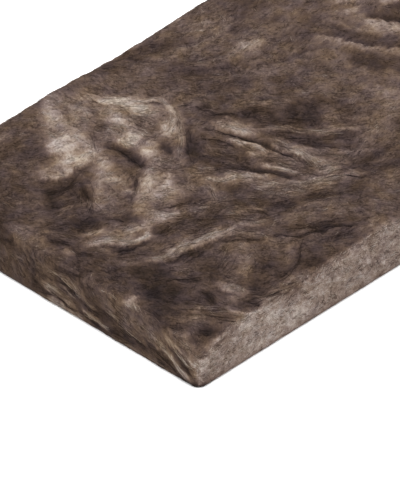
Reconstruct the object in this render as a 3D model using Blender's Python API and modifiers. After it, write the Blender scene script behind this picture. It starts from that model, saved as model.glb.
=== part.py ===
"""Glass-wool insulation batt, unfaced, lying flat on its back.

Units are metres. +X runs along the batt, +Y across it, +Z up through its loft.
The origin is at the middle of the flat underside.
"""

import math

import bmesh
import bpy
from mathutils import Vector

# Overall size: 48 in long, 24 in wide and 3 1/2 in thick.
BATT_LENGTH = 1.2192
BATT_WIDTH = 0.6096
BATT_THICKNESS = 0.0889

# Wool is soft, so no edge is sharp. The cut edges are rounder on top, where the loft is free.
UPRIGHT_EDGE_ROUNDING = 0.016
TOP_EDGE_ROUNDING = 0.018

# The free corners of the loft are pinched down, and the pinch dies out along both edges.
CORNER_PINCH = 0.036
CORNER_PINCH_REACH = 0.070

# The loft is uneven: broad hollows lie between its swells, and the swells reach the full thickness.
HOLLOW_DEPTH = 0.006
HOLLOW_SPACING_ALONG = 0.62
HOLLOW_SPACING_ACROSS = 0.44

# Spacing of the cage that the soft form is drawn from.
CAGE_STEP = 0.1016
SMOOTHING_LEVELS = 2
FLAT_ENOUGH = math.radians(0.2)

WOOL_BROWN = (0.112, 0.076, 0.061, 1.0)
WOOL_ROUGHNESS = 0.95


def clear_scene():
    for item in list(bpy.data.objects):
        bpy.data.objects.remove(item)


def wool_material():
    material = bpy.data.materials.new("glass_wool")
    material.use_nodes = True
    material.diffuse_color = WOOL_BROWN
    shader = material.node_tree.nodes["Principled BSDF"]
    shader.inputs["Base Color"].default_value = WOOL_BROWN
    shader.inputs["Roughness"].default_value = WOOL_ROUGHNESS
    shader.inputs["Metallic"].default_value = 0.0
    return material


def cage_lines(length):
    """Places of the cage's cuts along one side: beside each end, where its pinch stops, and evenly between."""
    edge = length / 2 - UPRIGHT_EDGE_ROUNDING
    inner = length / 2 - CORNER_PINCH_REACH
    count = max(1, round(2 * inner / CAGE_STEP))
    even = [-inner + 2 * inner * index / count for index in range(count + 1)]
    return [-edge, *even, edge]


def slice_cage(mesh, axis, places):
    """Cuts the cage by planes across one axis."""
    normal = Vector((0.0, 0.0, 0.0))
    normal[axis] = 1.0
    for place in places:
        bmesh.ops.bisect_plane(
            mesh,
            geom=mesh.verts[:] + mesh.edges[:] + mesh.faces[:],
            plane_co=normal * place,
            plane_no=normal,
        )


def corner_pinch(x, y):
    """How far the loft is pinched down at a point, which is most at the four corners."""
    from_end = BATT_LENGTH / 2 - abs(x)
    from_side = BATT_WIDTH / 2 - abs(y)
    away = math.hypot(from_end, from_side) / CORNER_PINCH_REACH
    return CORNER_PINCH * max(0.0, 1.0 - away)


def hollow(x, y):
    """Depth of the broad hollows between the swells of the loft."""
    along = math.sin(2 * math.pi * x / HOLLOW_SPACING_ALONG)
    across = math.sin(2 * math.pi * y / HOLLOW_SPACING_ACROSS)
    return HOLLOW_DEPTH * max(0.0, along * across)


def shape_loft(mesh):
    """Lowers the top of the cage into its hollows and its pinched corners."""
    for vert in mesh.verts:
        if vert.co.z > BATT_THICKNESS - TOP_EDGE_ROUNDING / 2:
            vert.co.z -= hollow(vert.co.x, vert.co.y)
        share = vert.co.z / BATT_THICKNESS
        vert.co.z -= share * corner_pinch(vert.co.x, vert.co.y)


def crease_base(mesh):
    """Keeps the underside flat and its rim crisp, where the wool lies on the floor."""
    crease = mesh.edges.layers.float.new("crease_edge")
    for edge in mesh.edges:
        below, beside = [abs(face.normal.z) > 0.5 for face in edge.link_faces]
        if edge.verts[0].co.z == edge.verts[1].co.z == 0.0 and below != beside:
            edge[crease] = 1.0


def make_batt(collection):
    mesh = bmesh.new()
    bmesh.ops.create_cube(mesh, size=1.0)
    bmesh.ops.scale(mesh, vec=(BATT_LENGTH, BATT_WIDTH, BATT_THICKNESS), verts=mesh.verts)
    bmesh.ops.translate(mesh, vec=(0.0, 0.0, BATT_THICKNESS / 2), verts=mesh.verts)
    slice_cage(mesh, 0, cage_lines(BATT_LENGTH))
    slice_cage(mesh, 1, cage_lines(BATT_WIDTH))
    slice_cage(mesh, 2, [BATT_THICKNESS - TOP_EDGE_ROUNDING])
    crease_base(mesh)
    shape_loft(mesh)

    data = bpy.data.meshes.new("batt")
    mesh.to_mesh(data)
    mesh.free()
    batt = bpy.data.objects.new("batt", data)
    collection.objects.link(batt)
    data.materials.append(wool_material())

    smooth = batt.modifiers.new("soft_form", "SUBSURF")
    smooth.levels = SMOOTHING_LEVELS
    smooth.render_levels = SMOOTHING_LEVELS
    flatten = batt.modifiers.new("join_flat_faces", "DECIMATE")
    flatten.decimate_type = "DISSOLVE"
    flatten.angle_limit = FLAT_ENOUGH
    return batt


def main():
    clear_scene()
    collection = bpy.data.collections.new("insulation_batt")
    bpy.context.scene.collection.children.link(collection)
    make_batt(collection)


main()
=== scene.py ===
"""Glass-wool batt: matted brown wool with draped folds, tucks, locks of fibre and loose strands.

Lengths are in metres in the part's frame: +X along the batt, +Y across it, +Z up.
Folds that the photograph shows are placed by its pixels, on the surface that is seen there.
"""

import math

import bpy
import numpy as np
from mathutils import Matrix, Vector


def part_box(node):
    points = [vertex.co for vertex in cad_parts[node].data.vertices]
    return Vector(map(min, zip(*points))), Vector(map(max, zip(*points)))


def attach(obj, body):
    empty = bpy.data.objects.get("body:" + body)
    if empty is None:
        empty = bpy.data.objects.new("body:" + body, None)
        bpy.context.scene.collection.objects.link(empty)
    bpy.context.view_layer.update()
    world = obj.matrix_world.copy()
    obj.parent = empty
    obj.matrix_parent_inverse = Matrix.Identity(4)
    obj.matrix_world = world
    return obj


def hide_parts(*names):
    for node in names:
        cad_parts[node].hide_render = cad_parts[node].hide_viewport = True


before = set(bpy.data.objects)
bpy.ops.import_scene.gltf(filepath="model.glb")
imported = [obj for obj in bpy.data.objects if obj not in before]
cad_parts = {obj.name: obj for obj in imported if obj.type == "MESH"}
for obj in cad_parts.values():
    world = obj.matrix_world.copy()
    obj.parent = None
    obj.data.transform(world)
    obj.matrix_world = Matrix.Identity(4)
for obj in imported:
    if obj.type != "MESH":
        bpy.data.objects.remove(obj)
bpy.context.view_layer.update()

LOW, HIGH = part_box("batt")
LENGTH = HIGH[0] - LOW[0]
WIDTH = HIGH[1] - LOW[1]
LOFT = HIGH[2] - LOW[2]

# The soft form, as in the solid.
EDGE_ROUNDING = 0.017
CORNER_PINCH = 0.036
CORNER_PINCH_REACH = 0.070
HOLLOW_DEPTH = 0.006
HOLLOW_SPACING_ALONG = 0.62
HOLLOW_SPACING_ACROSS = 0.44
HOLLOW_FADE = 0.05
FOOT_TUCK = 0.003
FOOT_HEIGHT = 0.008

# The camera stands where the photograph was taken from.
PHOTO_WIDTH_PX = 400
PHOTO_HEIGHT_PX = 500
LENS_MM = 1000.0
SENSOR_MM = 36.0
FOCAL_PX = LENS_MM / SENSOR_MM * PHOTO_HEIGHT_PX
CAMERA_AZIMUTH = math.radians(-45.63770712)
CAMERA_ELEVATION = math.radians(36.83087672)
CAMERA_EYE = np.array((-12.33680529, -11.7765121, 12.54875413))
OUT_OF_SIGHT_PX = -9999.0

# The wool's surface is unrolled onto one flat canvas: the top in the middle, and the sides
# folded out round it.
CANVAS_STEP = 0.0015
SEED = 20

# Fray of the photographed folds: the sizes of its waves, and how far they move an edge in pixels.
FRAY_SIZES = (0.020, 0.007, 0.0035)
FRAY_ACROSS_PX = (1.0, 0.6, 0.3)
FRAY_DOWN_PX = (0.8, 0.6, 0.3)
# The folds of the opposite corner are also bent by broad waves.
BEND_SIZE = 0.11
BEND_ACROSS_PX = 8
BEND_DOWN_PX = 6

# Points of the line that a fold's path is made into.
LINE_POINTS = 28
# How far a fold or wash reaches in half widths, and the margin round a fold's box in pixels.
SOFT_REACH = 1.7
BOX_MARGIN_PX = 6
# How much a fold covers of the tone below it, and how far towards its tuck its crest lies.
FOLD_COVER = 0.94
CREST_SHIFT = 0.35
# The gap beyond a tucked edge: its width in pixels, how dark its painted shade is, and its depth in lifts.
GAP_PX = 7
GAP_SHADE = 0.22
GAP_DEPTH = 0.5
# How far a fold turns the fibres to lie along it, if it is felted and if not.
FELTED_COMBING = 0.2
LOOSE_COMBING = 0.9

rng = np.random.default_rng(SEED)


def smooth(value, low, high):
    """0 below low, 1 above high, and a soft change between them."""
    t = np.clip((value - low) / (high - low), 0.0, 1.0)
    return t * t * (3.0 - 2.0 * t)


def even(field):
    """The field with a mean of 0 and a spread of 1."""
    return (field - field.mean()) / field.std()


def unit(vectors):
    return vectors / np.maximum(np.linalg.norm(vectors, axis=-1, keepdims=True), 1e-9)


def heading(angle):
    """Flat unit vectors at the given angles."""
    return np.stack([np.cos(angle), np.sin(angle)], -1)


def turned(way, angle):
    """Flat vectors, each turned by its angle."""
    ca, sa = np.cos(angle), np.sin(angle)
    x, y = way[..., 0], way[..., 1]
    return np.stack([x * ca - y * sa, x * sa + y * ca], -1)


def camera_axes():
    ca, sa = math.cos(CAMERA_AZIMUTH), math.sin(CAMERA_AZIMUTH)
    ce, se = math.cos(CAMERA_ELEVATION), math.sin(CAMERA_ELEVATION)
    back = np.array((sa * ce, -ca * ce, se))
    right = np.array((ca, sa, 0.0))
    return right, np.cross(back, right), back


def to_pixels(points):
    """Where the photograph shows points of the batt."""
    right, up, back = camera_axes()
    rel = points - CAMERA_EYE
    depth = -rel @ back
    x = PHOTO_WIDTH_PX / 2 + FOCAL_PX * (rel @ right) / depth
    y = PHOTO_HEIGHT_PX / 2 - FOCAL_PX * (rel @ up) / depth
    return x, y


def from_pixels(x, y, face):
    """The canvas places that the photograph shows at pixels, on the top or end face."""
    right, up, back = camera_axes()
    ray = (
        -back * FOCAL_PX
        + right * (np.asarray(x)[..., None] - PHOTO_WIDTH_PX / 2)
        + up * (PHOTO_HEIGHT_PX / 2 - np.asarray(y)[..., None])
    )
    axis, plane = {"top": (2, LOFT), "end": (0, -LENGTH / 2)}[face]
    hit = CAMERA_EYE + ray * ((plane - CAMERA_EYE[axis]) / ray[..., axis])[..., None]
    drop = LOFT - hit[..., 2]
    return hit[..., 0] - (drop if face == "end" else 0), hit[..., 1]


def wrap(u, v):
    """Base points and normals of the soft form at canvas places u, v."""
    half_l, half_w = LENGTH / 2, WIDTH / 2
    drop = np.maximum(np.abs(u) - half_l, 0) + np.maximum(np.abs(v) - half_w, 0)
    x = np.clip(u, -half_l, half_l)
    y = np.clip(v, -half_w, half_w)
    z = np.clip(LOFT - drop, 0.0, LOFT)
    r = EDGE_ROUNDING
    cx = np.clip(x, -half_l + r, half_l - r)
    cy = np.clip(y, -half_w + r, half_w - r)
    cz = np.minimum(z, LOFT - r)
    centre = np.stack([cx, cy, cz], -1)
    normal = unit(np.stack([x - cx, y - cy, z - cz], -1))
    points = centre + r * normal
    px, py, pz = points[..., 0], points[..., 1], points[..., 2]
    corner = np.hypot(half_l - np.abs(px), half_w - np.abs(py))
    pinch = CORNER_PINCH * np.maximum(0, 1 - corner / CORNER_PINCH_REACH)
    wave_along = np.sin(2 * np.pi * px / HOLLOW_SPACING_ALONG)
    wave_across = np.sin(2 * np.pi * py / HOLLOW_SPACING_ACROSS)
    hollow = HOLLOW_DEPTH * np.maximum(0, wave_along * wave_across) * smooth(pz, LOFT - HOLLOW_FADE, LOFT)
    foot = FOOT_TUCK * np.maximum(0, 1 - pz / FOOT_HEIGHT) ** 2
    points = points - normal * foot[..., None]
    points[..., 2] = pz - pz / LOFT * pinch - hollow
    return points, normal


class Canvas:
    """Fields over the unrolled surface: height in metres, tone from 0 to 1, and the fibres' flow."""

    def __init__(self):
        self.u = np.arange(-LENGTH / 2 - LOFT, LENGTH / 2 + LOFT + CANVAS_STEP, CANVAS_STEP)
        self.v = np.arange(-WIDTH / 2 - LOFT, WIDTH / 2 + LOFT + CANVAS_STEP, CANVAS_STEP)
        self.uu, self.vv = np.meshgrid(self.u, self.v)
        self.points = wrap(self.uu, self.vv)[0]
        self.px, self.py = self.seen_from(1.0)
        self.far_x, self.far_y = self.seen_from(-1.0)
        fray_x, fray_y = (
            sum(reach * self.cloud(size) for reach, size in zip(reaches, FRAY_SIZES))
            for reaches in (FRAY_ACROSS_PX, FRAY_DOWN_PX)
        )
        self.ragged = {
            "photo": (self.px + fray_x, self.py + fray_y),
            "opposite": (
                self.far_x + fray_x + BEND_ACROSS_PX * self.cloud(BEND_SIZE),
                self.far_y + fray_y + BEND_DOWN_PX * self.cloud(BEND_SIZE),
            ),
        }
        # How fully a fold covers what was laid before it, from place to place.
        self.cover = np.clip(0.92 + 0.12 * self.cloud(0.006) + 0.06 * self.cloud(0.014), 0.4, 1.0)
        self.height = np.zeros_like(self.uu)

    def seen_from(self, turn):
        """Pixels of every cell in the photograph, or with turn -1 in one from the opposite corner."""
        x, y = to_pixels(self.points * (turn, turn, 1.0))
        u, v = self.uu * turn, self.vv * turn
        hidden = (u > LENGTH / 2) | (v > WIDTH / 2) | ((u < -LENGTH / 2) & (v < -WIDTH / 2))
        x[hidden] = OUT_OF_SIGHT_PX
        return x, y

    def sample(self, field, u, v):
        """A field's values at canvas places, straight between its cells."""
        gx = np.clip((u - self.u[0]) / CANVAS_STEP, 0, len(self.u) - 1.001)
        gy = np.clip((v - self.v[0]) / CANVAS_STEP, 0, len(self.v) - 1.001)
        ix, iy = gx.astype(int), gy.astype(int)
        fx, fy = gx - ix, gy - iy
        if field.ndim == 3:
            fx, fy = fx[..., None], fy[..., None]
        low = field[iy, ix] * (1 - fx) + field[iy, ix + 1] * fx
        high = field[iy + 1, ix] * (1 - fx) + field[iy + 1, ix + 1] * fx
        return low * (1 - fy) + high * fy

    def cloud(self, size):
        """Smooth random field of about unit size, with features as wide as size in metres."""
        noise = rng.standard_normal(self.uu.shape)
        ky = np.fft.fftfreq(noise.shape[0], CANVAS_STEP)[:, None]
        kx = np.fft.rfftfreq(noise.shape[1], CANVAS_STEP)[None, :]
        k = np.hypot(kx, ky) * size
        return even(np.fft.irfft2(np.fft.rfft2(noise) * np.exp(-2 * k**2), noise.shape))

    def own_cells(self):
        """Every cell's own column and row."""
        gx = np.broadcast_to(np.arange(len(self.u), dtype=float), self.uu.shape).copy()
        gy = np.broadcast_to(np.arange(len(self.v), dtype=float)[:, None], self.uu.shape).copy()
        return gx, gy

    def cells_at(self, gx, gy):
        """Whole rows and columns of the cells nearest to the given columns and rows."""
        ix = np.clip(np.rint(gx).astype(int), 0, len(self.u) - 1)
        iy = np.clip(np.rint(gy).astype(int), 0, len(self.v) - 1)
        return iy, ix

    def feather(self, field, reach, steps=4):
        """The field with every cell taken from a random place up to about reach along its fibre."""
        pull = rng.standard_normal(field.shape) * reach / CANVAS_STEP / steps
        gx, gy = self.own_cells()
        for _ in range(steps):
            way = self.flow[self.cells_at(gx, gy)]
            gx += way[..., 0] * pull
            gy += way[..., 1] * pull
        return field[self.cells_at(gx, gy)]

    def smear(self, field, length):
        """The field drawn out along the flow, as combed fibres are."""
        total = field.copy()
        steps = max(1, int(length / CANVAS_STEP / 2))
        for sign in (1, -1):
            gx, gy = self.own_cells()
            for _ in range(steps):
                way = self.flow[self.cells_at(gx, gy)]
                gx += sign * way[..., 0]
                gy += sign * way[..., 1]
                total += field[self.cells_at(gx, gy)]
        return total / (1 + 2 * steps)

    def crinkle(self, size, angle):
        """Turns the flow a little to and fro, from one place as wide as size to the next."""
        self.flow = turned(self.flow, self.cloud(size) * angle)

    def unrolled_along(self, direction):
        """A field that grows along the given direction field, one metre a metre as nearly as it can."""
        fx, fy = direction[..., 0], direction[..., 1]
        fx = np.concatenate([fx, -fx[:, ::-1]], 1)
        fx = np.concatenate([fx, fx[::-1]], 0)
        fy = np.concatenate([fy, fy[:, ::-1]], 1)
        fy = np.concatenate([fy, -fy[::-1]], 0)
        ky = 2 * np.pi * np.fft.fftfreq(fx.shape[0], CANVAS_STEP)[:, None]
        kx = 2 * np.pi * np.fft.rfftfreq(fx.shape[1], CANVAS_STEP)[None, :]
        kk = kx**2 + ky**2
        kk[0, 0] = 1.0
        grown = -1j * (kx * np.fft.rfft2(fx) + ky * np.fft.rfft2(fy)) / kk
        grown[0, 0] = 0
        out = np.fft.irfft2(grown, fx.shape)
        return out[: direction.shape[0], : direction.shape[1]]


canvas = Canvas()


def curve(points, count):
    """An even smooth line through the given points."""
    pts = np.asarray(points, float)
    if len(pts) == 2:
        t = np.linspace(0, 1, count)[:, None]
        return pts[0] * (1 - t) + pts[1] * t
    padded = np.vstack([2 * pts[0] - pts[1], pts, 2 * pts[-1] - pts[-2]])
    t = np.linspace(0, 1, 16, endpoint=False)[:, None]
    fine = []
    for i in range(1, len(padded) - 2):
        p0, p1, p2, p3 = padded[i - 1 : i + 3]
        squared = (2 * p0 - 5 * p1 + 4 * p2 - p3) * t**2
        cubed = (3 * p1 - p0 - 3 * p2 + p3) * t**3
        fine.append(0.5 * (2 * p1 + (p2 - p0) * t + squared + cubed))
    fine = np.vstack(fine + [pts[-1:]])
    far = np.concatenate([[0], np.cumsum(np.linalg.norm(np.diff(fine, axis=0), axis=1))])
    stops = np.linspace(0, far[-1], count)
    return np.stack([np.interp(stops, far, fine[:, k]) for k in range(pts.shape[1])], -1)


def nearest(line, x, y):
    """Signed distance, share of the way along, and tangent of the line, for points x, y."""
    start, step = line[:-1], np.diff(line, axis=0)
    size2 = np.maximum((step**2).sum(1), 1e-18)
    dx = x[:, None] - start[:, 0]
    dy = y[:, None] - start[:, 1]
    t = np.clip((dx * step[:, 0] + dy * step[:, 1]) / size2, 0, 1)
    ox = dx - t * step[:, 0]
    oy = dy - t * step[:, 1]
    far2 = ox**2 + oy**2
    best = np.argmin(far2, axis=1)
    row = np.arange(len(x))
    side = step[best, 0] * oy[row, best] - step[best, 1] * ox[row, best]
    along = (best + t[row, best]) / len(step)
    return np.copysign(np.sqrt(far2[row, best]), side), along, unit(step)[best]


def cells_round(line, reach, xx, yy, cells):
    """Those of the cells that lie within reach of the box round a line."""
    low, high = line.min(0) - reach, line.max(0) + reach
    return (xx > low[0]) & (xx < high[0]) & (yy > low[1]) & (yy < high[1]) & cells


def onto_canvas(tangent, u, v, way):
    """Directions in the picture as directions on the canvas at places u, v."""
    eps = 1e-3
    turn = np.array((way, way, 1.0))
    cx, cy = to_pixels(wrap(u, v)[0] * turn)
    ax, ay = to_pixels(wrap(u + eps, v)[0] * turn)
    bx, by = to_pixels(wrap(u, v + eps)[0] * turn)
    a, b, c, e = (ax - cx) / eps, (bx - cx) / eps, (ay - cy) / eps, (by - cy) / eps
    det = a * e - b * c
    det = np.where(np.abs(det) < 1e-3, 1e-3, det)
    tx, ty = tangent[:, 0], tangent[:, 1]
    return unit(np.stack([(e * tx - b * ty) / det, (a * ty - c * tx) / det], -1))


def lay(place, path, half_width, tone, lift, edge, shade=GAP_SHADE, combed=LOOSE_COMBING, cells=True):
    """Lays one lock of wool on the canvas.

    place is "photo" for a path in the photograph's pixels, "opposite" for the same path as it would
    be seen from the opposite corner, or "batt" for one in canvas metres.
    edge is 1 where the lock's near side is a sharp tuck, -1 where its far side is, and 0 for neither.
    shade is how dark the painted shade in the gap beyond that edge is, and combed how far the fibres turn
    to lie along it.
    """
    on_batt = place == "batt"
    xx, yy = (canvas.uu, canvas.vv) if on_batt else canvas.ragged[place]
    one_px = CANVAS_STEP if on_batt else 1.0
    line = curve(path, LINE_POINTS)
    mask = cells_round(line, half_width * SOFT_REACH + BOX_MARGIN_PX * one_px, xx, yy, cells)
    if not mask.any():
        return
    d, t, tangent = nearest(line, xx[mask], yy[mask])
    if on_batt:
        d = -d
    width = half_width * np.sqrt(np.clip(np.sin(np.pi * np.clip(t, 0.02, 0.98)), 0, 1)) ** 0.8
    r = d / width
    gap = np.zeros_like(d)
    if edge:
        beyond = d * edge - width
        tucked = 1 - smooth(beyond, -0.6 * one_px, 0.8 * one_px)
        weight = np.where(d * edge > 0, tucked, 1 - smooth(-r * edge, 0.2, 1.7))
        gap = smooth(beyond, -one_px, one_px) * (1 - smooth(beyond, one_px, GAP_PX * one_px))
        gap *= np.sin(np.pi * np.clip(t, 0, 1)) ** 0.5
    else:
        weight = 1 - smooth(np.abs(r), 0.15, 1.5)
    ends = smooth(t, 0.0, 0.12) * (1 - smooth(t, 0.88, 1.0))
    weight = weight * (0.25 + 0.75 * ends) * canvas.cover[mask]
    # Beyond a tucked edge the tone is darkened as painted shade.
    canvas.tone[mask] += weight * (tone - canvas.tone[mask]) * FOLD_COVER - gap * shade
    crest = np.clip(1 - (r - CREST_SHIFT * edge) ** 2, 0, 1)
    canvas.height[mask] += lift * crest * weight - gap * abs(lift) * GAP_DEPTH
    if not on_batt:
        way = -1.0 if place == "opposite" else 1.0
        tangent = onto_canvas(tangent, canvas.uu[mask], canvas.vv[mask], way)
    old = canvas.flow[mask]
    agree = np.sign((old * tangent).sum(-1, keepdims=True))
    agree[agree == 0] = 1
    span = np.linalg.norm(np.diff(line, axis=0), axis=1).sum() / half_width
    w = (weight * combed * smooth(span, 1.5, 5.0))[:, None]
    canvas.flow[mask] = unit(old * (1 - w) + tangent * agree * w)


def wash(path, half_width, shift, cells):
    """Makes a soft band of the photographed surface lighter or darker, with its folds kept."""
    line = curve(path, LINE_POINTS)
    mask = cells_round(line, half_width * SOFT_REACH, canvas.px, canvas.py, cells)
    if mask.any():
        d = nearest(line, canvas.px[mask], canvas.py[mask])[0]
        canvas.tone[mask] += shift * (1 - smooth(np.abs(d) / half_width, 0.0, 1.6))


# Tones of the wool, from the bottom of a pocket to the fibres that catch the light. The darkest
# stand partly for painted shade in pockets and cracks, the palest partly for painted highlights.
DEEP = 0.05
DARK = 0.14
DIM = 0.22
SHADE = 0.31
BROWN = 0.41
MID = 0.49
WARM = 0.57
TAN = 0.65
LIGHT = 0.75
PALE = 0.82
BRIGHT = 0.89
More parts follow.
